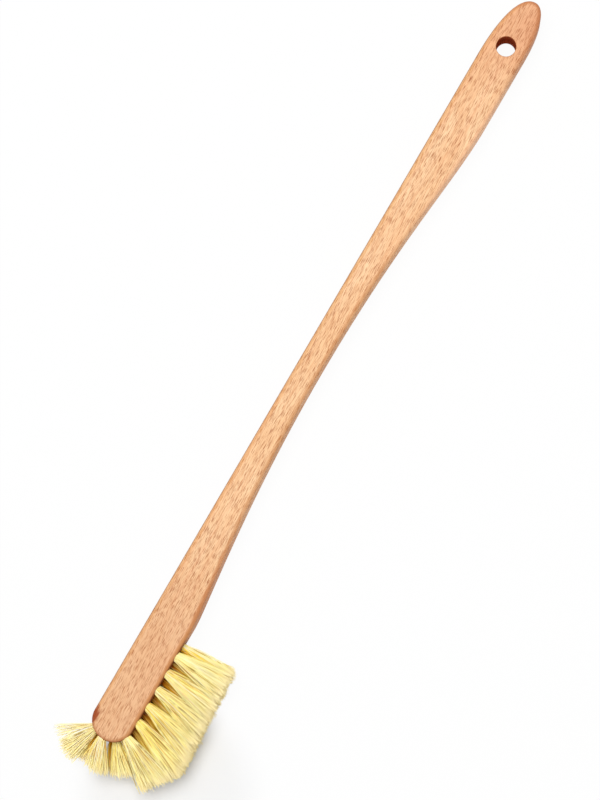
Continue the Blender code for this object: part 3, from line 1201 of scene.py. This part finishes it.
    def _plate(self) -> bpy.types.Object:
        """Draw the silhouette as a flat curve, fill it and extrude it to the plate's thickness.

        Returns:
            The plate with its edges still sharp.
        """
        plate = primitive(bpy.ops.curve.primitive_bezier_curve_add, location=(0.0, 0.0, 0.0))
        spline = plate.data.splines[0]
        knots = self._knots()
        spline.bezier_points.add(len(knots) - len(spline.bezier_points))
        for point, (before, place, after) in zip(spline.bezier_points, knots):
            point.handle_left_type = "FREE"
            point.handle_right_type = "FREE"
            point.co = (*place, 0.0)
            point.handle_left = (*before, 0.0)
            point.handle_right = (*after, 0.0)
        spline.use_cyclic_u = True
        spline.resolution_u = self.outline_steps
        hold(plate)
        bpy.ops.object.convert(target="MESH")
        with editing(plate):
            bpy.ops.mesh.select_all(action="SELECT")
            bpy.ops.mesh.edge_face_add()
            extrude((0.0, 0.0, self.thickness))
            bpy.ops.mesh.select_all(action="SELECT")
            bpy.ops.mesh.normals_make_consistent(inside=False)
        return plate

    def _bore_hanging_hole(self, plate: bpy.types.Object) -> None:
        """Bore the hanging hole through the grip and break its two rims.

        Args:
            plate: The rounded plate.
        """
        # The drill is half as long again as the plate is thick
        centre = Vector((*self.hang_hole, self.thickness / 2))
        drill = primitive(bpy.ops.mesh.primitive_cylinder_add, vertices=self.hang_sides,
                          radius=self.hang_radius, depth=self.thickness * 1.5, location=centre)
        cut_with(plate, drill)

        def on_rim(edge: bmesh.types.BMEdge) -> bool:
            """Tell whether an edge lies on a rim of the hole.

            Args:
                edge: The edge.

            Returns:
                Whether it does, to a hundredth of a millimetre.
            """
            level = {round(corner.co.z / self.thickness, 3) for corner in edge.verts}
            away = [(corner.co.xy - centre.xy).length - self.hang_radius for corner in edge.verts]
            return max(map(abs, away)) < MM / 100 and level in ({0.0}, {1.0})

        with editing(plate):
            pick(plate, Part.EDGES, on_rim)
            bpy.ops.mesh.bevel(offset=self.hang_rim, segments=self.hang_rim_steps)

    def _dress_bore(self, plate: bpy.types.Object, material: bpy.types.Material) -> None:
        """Give the wall of the hanging hole its own, wholly matt material.

        Args:
            plate: The bored plate.
            material: The material of the wall.
        """
        plate.data.materials.append(material)
        plate.active_material_index = 1
        # The wall reaches up to the first step of each broken rim
        centre = Vector(self.hang_hole)
        reach = self.hang_radius + self.hang_rim * 0.3
        with editing(plate):
            pick(plate, Part.FACES, lambda face: (face.calc_center_median().xy - centre).length < reach)
            bpy.ops.object.material_slot_assign()

    def _drill(self, depth: float) -> bpy.types.Object:
        """Model the space of one tuft hole: a bore that widens at its mouth, and the wire's slot.

        Args:
            depth: How deep the hole is.

        Returns:
            The drill, standing at the origin with the hole below it.
        """
        straight = depth - self.mouth_depth
        drill = primitive(bpy.ops.mesh.primitive_cylinder_add, vertices=self.hole_sides,
                          radius=self.hole_radius, depth=straight,
                          location=(0.0, 0.0, -depth + straight / 2))
        hold(drill)
        bpy.ops.object.transform_apply()
        with editing(drill):
            pick(drill, Part.FACES, lambda face: face.normal.z > END_FACE)
            extrude((0.0, 0.0, self.mouth_depth), self.mouth_radius / self.hole_radius)
            extrude((0.0, 0.0, self.edge_round), self.mouth_flare)
        slot = primitive(bpy.ops.mesh.primitive_cube_add, size=1.0, scale=self.slot,
                         location=(0.0, 0.0, -depth + self.slot[2] / 2), rotation=(0.0, 0.0, WIRE_TURN))
        cut_with(drill, slot, "UNION")
        return drill

    def _drills(self) -> bpy.types.Object:
        """Stand a drill in every tuft hole and join them all.

        Returns:
            The drills, as one object.
        """
        stock = {}
        copies = []
        for place in self.pattern.stations():
            depth = self.pattern.hole_depth(place)
            if depth not in stock:
                stock[depth] = self._drill(depth)
            copies.append(copy_of(stock[depth], self.pattern.frame(place)))
        for drill in stock.values():
            bpy.data.objects.remove(drill, do_unlink=True)
        return joined(copies)


# The tufts


@dataclass(frozen=True)
class Packing:
    """How the fibres of one tuft lie in their hole and where they point.

    Attributes:
        disc: Each fibre's place across the hole, in a circle of radius 1.
        feet: Where it leaves the hole, in metres.
        fan: Where its tip points to, as a share of the tuft's spread.
        lock: Number of the lock that it belongs to.
        locks: How many locks there are.
        loose: Numbers of the fibres that stray.
        wisps: Numbers of those that stray far.
    """

    disc: np.ndarray
    feet: np.ndarray
    fan: np.ndarray
    lock: np.ndarray
    locks: int
    loose: np.ndarray
    wisps: np.ndarray


@dataclass(frozen=True)
class Bundle:
    """Ways of the fibres: packed in the hole, bundled in locks, fanned out and cut to the trim.

    Plays are the standard deviations of random draws, and a pair is a mean and a deviation.

    Attributes:
        pattern: Pattern of the tufts.
        pack_radius: Radius of the bundle in its hole.
        foot_depth: How deep in the hole the fibres start.
        lock_count: Number of locks at most.
        lock_pull: How far the fibres of a lock draw together.
        lock_sway: Play of a lock's direction.
        fan_play: Play of a fibre's direction.
        strays: Number of fibres that stray.
        stray_play: Play of their direction.
        stray_bend: Play of their bend.
        wisp_reach: How far the wisps point along the edge, at most and at least.
        cross_spread: How far the tips spread to either side, across the plate.
        floor_gap: Least height of a fibre over the rear face.
        fray: How far the ends fall short of the trim.
        lock_fray: Play of a lock's ends.
        long_share: Share of the fibres that are longer.
        long_reach: How much longer they are at most.
        end_play: Play of an end in each direction.
        belly: How much wider than in the hole the bundle gets just outside it.
        belly_height: Height over the wood of the control point that widens it.
        bend_at: Share of the length at which a fibre bends.
        bulge: How far the outer fibres bend outwards.
        looseness: Play of the bend along and across the edge and out of the wood.
        lot_shift: How much paler than the tuft's tone the fibres are.
        lot_play: Play of a fibre's shade.
        lock_lot_play: Play of a lock's shade.
        depth_shade_lot: How much darker the fibres by the rear face are drawn, as painted shade.
        shaded_flank_start: Place along the edge, within the hole, from which painted shade darkens the
            fibres.
        lot_range: Least and greatest shade.
        pale_reach: Share of palest fibres in a tuft of tone 0.
        wisp_lot: Shade of the wisps.
        cover_width: How wide a fibre covers what is below it.
        cover_rise: Height from which it covers fully.
        cover_count: Number of fibres above and below that bury one by two thirds.
        open_side: How much a fibre counts that stands before another on an open side.
    """

    pattern: HeadPattern
    pack_radius: float = 0.00170
    foot_depth: float = 0.0020
    lock_count: int = 22
    lock_pull: float = 0.28
    lock_sway: float = 0.2
    fan_play: float = 0.17
    strays: int = 34
    stray_play: float = 0.22
    stray_bend: float = 0.0011
    wisp_reach: Pair = (-1.95, -1.05)
    cross_spread: float = 0.0029
    floor_gap: float = 0.0004
    fray: Pair = (-0.0007, 0.00045)
    lock_fray: float = 0.00025
    long_share: float = 0.2
    long_reach: float = 0.0011
    end_play: float = 0.00035
    belly: float = 1.34
    belly_height: float = 0.00144
    bend_at: float = 0.58
    bulge: float = 0.0006
    looseness: Triple = (0.0009, 0.0004, 0.0009)
    lot_shift: float = 0.17
    lot_play: float = 0.17
    lock_lot_play: float = 0.07
    depth_shade_lot: float = 0.1
    shaded_flank_start: float = 0.6
    lot_range: Pair = (0.05, 0.99)
    pale_reach: float = 0.38
    wisp_lot: float = 0.02
    cover_width: float = 0.00016
    cover_rise: float = 0.0003
    cover_count: float = 1.0
    open_side: float = 0.15

    def packing(self, place: Station, chance: np.random.Generator) -> Packing:
        """Pack the fibres in their hole and point them.

        Args:
            place: The tuft's station.
            chance: Source of chance.

        Returns:
            The packing.
        """
        count = place.fibres
        order = np.arange(count)
        share = np.sqrt((order + 0.5) / count)
        turn = order * GOLDEN_TURN + chance.uniform(0, 2 * pi)
        out = np.column_stack((np.cos(turn), np.sin(turn)))
        disc = out * share[:, None]
        foot = out * (share * self.pack_radius)[:, None]

        # Three seeds for each lock are drawn, because those outside the circle are dropped
        seeds = chance.uniform(-1, 1, (self.lock_count * 3, 2))
        seeds = seeds[np.hypot(*seeds.T) < 1][: self.lock_count]
        lock = np.argmin(((disc[:, None] - seeds[None]) ** 2).sum(2), axis=1)
        centres = np.array([disc[lock == index].mean(0) if np.any(lock == index) else (0, 0)
                            for index in range(len(seeds))])
        sway = chance.normal(0, self.lock_sway, (len(seeds), 2))
        fan = disc * (1 - self.lock_pull) + centres[lock] * self.lock_pull + sway[lock]
        fan += chance.normal(0, self.fan_play, (count, 2))
        fan /= np.maximum(np.hypot(*fan.T), 1.0)[:, None]
        fan[fan[:, 0] > 0, 0] *= place.grip_side

        loose = chance.choice(count, self.strays, replace=False)
        fan[loose] += chance.normal(0, self.stray_play, (self.strays, 2))
        wisps = np.argsort(foot[:, 0])[: place.wisps]
        fan[wisps, 0] = chance.uniform(*self.wisp_reach, place.wisps)
        return Packing(disc, at_level(foot, 0.0), fan, lock, len(seeds), loose, wisps)

    def ends(self, place: Station, packing: Packing, chance: np.random.Generator) -> np.ndarray:
        """Cut the fibres to the trim and fray their ends.

        Args:
            place: The tuft's station.
            packing: How its fibres lie.
            chance: Source of chance.

        Returns:
            The fibres' ends, in the frame of the hole.
        """
        count = place.fibres
        along = packing.fan[:, 0] * place.spread - place.drift
        tips = at_level(np.column_stack((along, packing.fan[:, 1] * self.cross_spread)), place.reach)
        ends = self.pattern.trimmed(place, packing.feet, tips)
        run = unit(ends - packing.feet)
        frayed = chance.normal(*self.fray, count)
        frayed += chance.normal(0, self.lock_fray, packing.locks)[packing.lock]
        longer = chance.random(count) < self.long_share
        frayed += np.where(longer, chance.random(count), 0) * self.long_reach
        return ends + run * frayed[:, None] + chance.normal(0, self.end_play, (count, 3))

    def curves(self, place: Station, packing: Packing, chance: np.random.Generator) -> np.ndarray:
        """Draw each fibre's curve from the hole to its end.

        Args:
            place: The tuft's station.
            packing: How its fibres lie.
            chance: Source of chance.

        Returns:
            Four control points for each fibre, in the frame of the hole.
        """
        feet, foot = packing.feet, packing.feet[:, :2]
        ends = self.ends(place, packing, chance)
        start = at_level(foot, -self.foot_depth)
        swell = at_level(foot * self.belly, self.belly_height)
        swell[swell[:, 0] > 0, 0] *= (1 + place.grip_side) / 2
        bend = feet + (ends - feet) * self.bend_at + at_level(packing.disc * self.bulge, 0.0)
        bend += chance.normal(0, 1, (place.fibres, 3)) * self.looseness
        bend[packing.loose] += chance.normal(0, self.stray_bend, (self.strays, 3)) * (1, 1, 0)
        points = np.stack((start, swell, bend, ends), axis=1)
        points[..., 1] = np.maximum(points[..., 1], self.floor_gap - place.row.value)
        return points

    def lots(self, place: Station, packing: Packing, chance: np.random.Generator) -> np.ndarray:
        """Draw each fibre's shade.

        Args:
            place: The tuft's station.
            packing: How its fibres lie.
            chance: Source of chance.

        Returns:
            The shades, from 0 for the palest to 1 for amber.
        """
        lots = chance.normal(place.tone - self.lot_shift, self.lot_play, place.fibres)
        lots += chance.normal(0, self.lock_lot_play, packing.locks)[packing.lock]
        # Painted shade: fibres low in the bundle are drawn darker
        lots += (1 - packing.disc[:, 1]) / 2 * self.depth_shade_lot
        # Painted shade: the first tuft darkens on its side towards the end of the head
        lots += place.shaded_flank * np.clip(self.shaded_flank_start - packing.disc[:, 0], 0, 1)
        lots = np.clip(lots, *self.lot_range)
        lots[chance.random(place.fibres) < self.pale_reach - place.tone] = 0.0
        lots[packing.wisps] = self.wisp_lot
        return lots

    def cover(self, middle: np.ndarray, place: Station) -> np.ndarray:
        """Tell how deep in its bundle each point of each fibre lies.

        Args:
            middle: Points on the fibres' middle lines, by fibre and by step, in the frame of the hole.
            place: The tuft's station. The first ones are open on the grip's side too.

        Returns:
            0 for a point that is open from above or from below, up to 1 for one that is buried.
        """
        gap = middle[None] - middle[:, None]
        beside = np.exp(-((gap[..., 0] / self.cover_width) ** 2))
        rise = gap[..., 1] / self.cover_rise
        above = (beside * np.clip(rise, 0, 1)).sum(1)
        below = (beside * np.clip(-rise, 0, 1)).sum(1)
        buried = np.minimum(above, below)
        if place.number == 1:
            level = np.exp(-((gap[..., 1] / self.cover_width) ** 2))
            beyond = (level * np.clip(gap[..., 0] / self.cover_rise, 0, 1)).sum(1)
            buried = np.minimum(buried, beyond * self.open_side)
        return 1 - np.exp(-buried / self.cover_count)


@dataclass
class Tufts:
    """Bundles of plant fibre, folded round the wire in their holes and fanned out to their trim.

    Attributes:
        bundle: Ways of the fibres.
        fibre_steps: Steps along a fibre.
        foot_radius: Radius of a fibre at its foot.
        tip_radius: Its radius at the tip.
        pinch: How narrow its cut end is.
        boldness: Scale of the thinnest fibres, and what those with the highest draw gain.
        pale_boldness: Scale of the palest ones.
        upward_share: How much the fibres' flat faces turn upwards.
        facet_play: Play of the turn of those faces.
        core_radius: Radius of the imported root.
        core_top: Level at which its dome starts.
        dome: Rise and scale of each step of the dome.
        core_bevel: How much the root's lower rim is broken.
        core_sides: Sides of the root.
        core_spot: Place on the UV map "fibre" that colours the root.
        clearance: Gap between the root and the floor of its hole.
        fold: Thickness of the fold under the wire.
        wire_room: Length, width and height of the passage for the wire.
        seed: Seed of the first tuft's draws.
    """

    bundle: Bundle
    fibre_steps: int = 9
    foot_radius: float = 0.00014
    tip_radius: float = 0.00016
    pinch: float = 0.6
    boldness: Pair = (0.8, 1.0)
    pale_boldness: float = 1.1
    upward_share: float = 2.4
    facet_play: float = 0.25
    core_radius: float = 0.0017
    core_top: float = -0.0010
    dome: tuple[Pair, ...] = ((0.0005, 0.9), (0.0004, 0.75), (0.0002, 0.5))
    core_bevel: float = 0.0003
    core_sides: int = 24
    core_spot: Pair = (0.03, 0.9)
    clearance: float = 0.0003
    fold: float = 0.0006
    wire_room: Triple = (0.006, 0.0010, 0.0020)
    seed: int = 23

    def build(self) -> list[bpy.types.Object]:
        """Make every tuft.

        Returns:
            The tufts, row by row.
        """
        pattern = self.bundle.pattern
        stock = self._fibre()
        places = pattern.stations()
        cores = {depth: self._core(depth) for depth in {pattern.hole_depth(place) for place in places}}
        # The shaded copy paints more shade at the foot and on the flanks, and has less sheen
        lit = PlantFibre("plant_fibre_lit", foot_shade_reach=0.10, shade_reach=0.15, side_shade_share=0.33, sheen=0.25)
        shaded = PlantFibre("plant_fibre_shaded", foot_shade_reach=0.48, shade_reach=0.80, side_shade_share=0.5,
                            sheen=0.05)
        finishes = {True: lit.material(), False: shaded.material()}
        made = []
        for index, place in enumerate(places):
            frame = pattern.frame(place)
            fibres = self._fibres(place, stock, np.random.default_rng(self.seed + index))
            fibres.matrix_world = frame
            root = copy_of(cores[pattern.hole_depth(place)], frame)
            tuft = settle(joined([fibres, root]), f"fibre_tuft_{place.label}")
            dress(tuft, finishes[place.lit])
            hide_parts(f"tuft_{place.label}")
            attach(tuft, "root")
            made.append(tuft)
        for item in (stock, *cores.values()):
            bpy.data.objects.remove(item, do_unlink=True)
        return made

    def _fibre(self) -> bpy.types.Object:
        """Model one fibre, of length and radius 1: a three-sided stalk with a pinched end.

        Returns:
            The fibre, standing at the origin.
        """
        fibre = primitive(bpy.ops.mesh.primitive_circle_add, vertices=3, radius=1.0, fill_type="NGON")
        with editing(fibre):
            bpy.ops.mesh.select_all(action="SELECT")
            for _ in range(self.fibre_steps):
                extrude((0.0, 0.0, 1 / self.fibre_steps))
            bpy.ops.transform.resize(value=(self.pinch, self.pinch, 1.0))
            bpy.ops.mesh.select_all(action="SELECT")
            bpy.ops.mesh.normals_make_consistent(inside=False)
        return fibre

    def _core(self, depth: float) -> bpy.types.Object:
        """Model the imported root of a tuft, folded round the wire, with a domed top.

        Args:
            depth: Depth of its hole.

        Returns:
            The core, standing in a hole at the origin.
        """
        foot = -depth + self.clearance
        core = primitive(bpy.ops.mesh.primitive_cylinder_add, vertices=self.core_sides,
                         radius=self.core_radius, depth=self.core_top - foot,
                         location=(0.0, 0.0, (self.core_top + foot) / 2))
        hold(core)
        bpy.ops.object.transform_apply()
        with editing(core):
            pick(core, Part.FACES, lambda face: face.normal.z > END_FACE)
            for rise, scale in self.dome:
                extrude((0.0, 0.0, rise), scale)
            pick(core, Part.FACES, lambda face: face.normal.z < -END_FACE)
            bpy.ops.mesh.bevel(offset=self.core_bevel, segments=2)
        room = primitive(bpy.ops.mesh.primitive_cube_add, size=1.0, rotation=(0.0, 0.0, WIRE_TURN),
                         location=(0.0, 0.0, foot + self.fold + self.wire_room[2] / 2),
                         scale=self.wire_room)
        cut_with(core, room)
        while core.data.uv_layers:
            core.data.uv_layers.remove(core.data.uv_layers[0])
        # The root counts as wholly buried, which gives it the full painted shade, and its draw is 0
        for name, spot in (("fibre", self.core_spot), ("cover", (1.0, 0.0))):
            layer = core.data.uv_layers.new(name=name)
            layer.data.foreach_set("uv", np.tile(spot, len(layer.data)))
        return core

    def _fibres(self, place: Station, stock: bpy.types.Object,
                chance: np.random.Generator) -> bpy.types.Object:
        """Copy the stock fibre along the curve of every fibre of a tuft.

        Args:
            place: The tuft's station.
            stock: The fibre that is copied.
            chance: Source of chance.

        Returns:
            The fibres, standing at the origin.
        """
        packing = self.bundle.packing(place, chance)
        points = self.bundle.curves(place, packing, chance)
        lots = self.bundle.lots(place, packing, chance)
        fibre_draw = chance.random(place.fibres)
        leaning = np.arctan2(packing.disc[:, 1] + self.upward_share, packing.disc[:, 0])
        turn = (leaning + pi / 2 + chance.normal(0, self.facet_play, place.fibres))[:, None]

        corners = np.array([corner.co[:] for corner in stock.data.vertices])
        along = corners[:, 2]
        left = 1 - along
        weights = np.stack((left**3, 3 * along * left**2, 3 * along**2 * left, along**3), axis=1)
        slopes = np.stack((-3 * left**2, 3 * left**2 - 6 * along * left,
                           6 * along * left - 3 * along**2, 3 * along**2), axis=1)
        middle = np.einsum("vk,fkc->fvc", weights, points)
        heading = unit(np.einsum("vk,fkc->fvc", slopes, points))
        aside = unit(np.cross(np.array((0.0, 1.0, 0.0)), heading))
        upward = np.cross(heading, aside)
        least, gain = self.boldness
        bold = np.where(lots == 0, self.pale_boldness, least + gain * fibre_draw**3)
        radius = (self.foot_radius + (self.tip_radius - self.foot_radius) * along)[None, :] * bold[:, None]
        x = (corners[:, 0] * np.cos(turn) - corners[:, 1] * np.sin(turn)) * radius
        y = (corners[:, 0] * np.sin(turn) + corners[:, 1] * np.cos(turn)) * radius
        placed = middle + aside * x[..., None] + upward * y[..., None]

        size = len(corners)
        faces = [tuple(corner + index * size for corner in face.vertices)
                 for index in range(place.fibres) for face in stock.data.polygons]
        mesh = bpy.data.meshes.new("fibres")
        mesh.from_pydata(placed.reshape(-1, 3).tolist(), [], faces)
        wanted = np.array([loop.vertex_index for loop in mesh.loops])
        maps = {
            "fibre": (along[wanted % size], lots[wanted // size]),
            "cover": (self.bundle.cover(middle, place).ravel()[wanted], fibre_draw[wanted // size]),
        }
        for name, values in maps.items():
            layer = mesh.uv_layers.new(name=name)
            layer.data.foreach_set("uv", np.column_stack(values).astype(np.float32).ravel())
        fibres = bpy.data.objects.new("fibres", mesh)
        bpy.context.scene.collection.objects.link(fibres)
        return fibres


@dataclass
class Anchors:
    """The flat wires that hold the tufts, as the CAD has them, in bright steel.

    Attributes:
        nodes: The CAD's objects, by the names of their nodes.
    """

    nodes: dict[str, bpy.types.Object]

    def dress(self) -> list[bpy.types.Object]:
        """Give each anchor its finish.

        Returns:
            The anchors.
        """
        material = FlatWire().material()
        dressed = [item for name, item in self.nodes.items() if name.startswith("anchor_")]
        for item in dressed:
            for slot in item.material_slots:
                slot.material = material
        return dressed


# The studio


@dataclass
class Studio:
    """White floor, soft light from the spine's side and the camera of the photograph.

    Attributes:
        camera_place: Place of the camera.
        camera_turn: Its turn about X, Y and Z, in degrees.
        lens: Its focal length, in mm.
        sensor: Height of its sensor, in mm.
        near_clip: Least distance at which it sees.
        lamp_place: Place of the lamp.
        lamp_target: What the lamp points at.
        lamp_size: Its diameter.
        lamp_power: Its power, in watts.
        sky_level: How bright the white round the scene lights it.
        floor_centre: Centre of the floor, a hair under the brush.
        floor_size: Side of the floor.
        floor_white: How much light the floor sends back; its grey adds a soft painted shadow where it is
            matt.
        floor_glow: How much of its look away from the brush is plain white.
        shadow_centre: Middle of the part of the floor that keeps its shadow, in mm.
        shadow_reach: Distances from there at which it starts and stops to fade, in mm.
    """

    camera_place: Triple = (0.181571, -0.073846, 0.855905)
    camera_turn: Triple = (1.1507, 5.1636, -59.5611)
    lens: float = 90.0
    sensor: float = 36.0
    near_clip: float = 0.01
    lamp_place: Triple = (0.32, 0.16, 1.28)
    lamp_target: Triple = (0.15, 0.0, 0.0)
    lamp_size: float = 1.0
    lamp_power: float = 14.2
    sky_level: float = 0.44
    floor_centre: Triple = (0.15, 0.0, -0.0001)
    floor_size: float = 4.0
    floor_white: float = 0.84
    floor_glow: float = 0.94
    shadow_centre: Triple = (-19.0, -36.0, 0.0)
    shadow_reach: Pair = (26.0, 46.0)

    def build(self) -> None:
        """Set the floor, the light and the camera."""
        bpy.context.scene.view_settings.view_transform = "Standard"
        self._floor()
        self._lamp()
        self._sky()
        self._camera()

    def _floor(self) -> None:
        """Lay a plain floor that looks white and keeps the object's shadow, with painted shadow round the
        head.
        """
        plane = primitive(bpy.ops.mesh.primitive_plane_add, size=self.floor_size, location=self.floor_centre)
        floor = settle(plane, "studio_floor")
        material = bpy.data.materials.new("white_floor")
        tree = ShaderTree(material)
        white = (self.floor_white, self.floor_white, self.floor_white, 1.0)
        matt = tree.node("ShaderNodeBsdfDiffuse", values={"Color": white})
        glow = tree.node("ShaderNodeEmission", values={"Color": WHITE, "Strength": 1.0})
        away = tree.vector("DISTANCE", tree.place, self.shadow_centre, output="Value")
        # Near the shadow centre the floor is matt: it keeps the real shadow, and its grey adds painted
        # shadow
        share = self._seen(tree) * away.over(*self.shadow_reach) * self.floor_glow
        mixed = tree.node("ShaderNodeMixShader", values={0: share, 1: matt, 2: glow})
        tree.node("ShaderNodeOutputMaterial", values={"Surface": mixed})
        floor.data.materials.append(material)

    @staticmethod
    def _seen(tree: ShaderTree) -> Value:
        """Give 1 for rays from the camera and for those that mirrors and glass send on."""
        camera = tree.node("ShaderNodeLightPath", output="Is Camera Ray")
        return (camera + camera.other("Is Glossy Ray") + camera.other("Is Transmission Ray")).at_most(1.0)

    def _lamp(self) -> None:
        """Hang one large soft lamp on the spine's side."""
        light = bpy.data.lights.new("soft_lamp", "AREA")
        light.shape = "DISK"
        light.size = self.lamp_size
        light.energy = self.lamp_power
        lamp = bpy.data.objects.new("soft_lamp", light)
        bpy.context.scene.collection.objects.link(lamp)
        lamp.location = self.lamp_place
        aim = Vector(self.lamp_target) - Vector(self.lamp_place)
        lamp.rotation_euler = aim.to_track_quat("-Z", "Y").to_euler()

    def _sky(self) -> None:
        """Surround the scene with even white light, at full white where it is seen."""
        world = bpy.data.worlds.new("soft_white")
        bpy.context.scene.world = world
        tree = ShaderTree(world)
        strength = self._seen(tree) * (1.0 - self.sky_level) + self.sky_level
        background = tree.node("ShaderNodeBackground", values={"Color": WHITE, "Strength": strength})
        tree.node("ShaderNodeOutputWorld", values={"Surface": background})

    def _camera(self) -> None:
        """Stand the camera where the photograph was taken from."""
        data = bpy.data.cameras.new("camera")
        data.sensor_fit = "VERTICAL"
        data.sensor_height = self.sensor
        data.lens = self.lens
        data.clip_start = self.near_clip
        camera = bpy.data.objects.new("camera", data)
        bpy.context.scene.collection.objects.link(camera)
        camera.location = self.camera_place
        camera.rotation_euler = [radians(turn) for turn in self.camera_turn]
        bpy.context.scene.camera = camera


def report(items: Sequence[bpy.types.Object]) -> None:
    """Log the size of each piece.

    Args:
        items: The pieces.
    """
    for item in items:
        item.data.calc_loop_triangles()
        LOG.info("%s: %d triangles, %s mm", item.name, len(item.data.loop_triangles),
                 " x ".join(f"{side / MM:.1f}" for side in item.dimensions))


def main() -> None:
    """Build the handle, the tufts, the anchors' finish and the studio."""
    logging.basicConfig(level=logging.INFO, format="%(name)s %(message)s")
    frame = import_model()
    pattern = HeadPattern()
    report([Handle(pattern).build()])
    report(Tufts(Bundle(pattern)).build())
    report(Anchors(frame["nodes"]).dress())
    Studio().build()


if __name__ == "__main__":
    main()
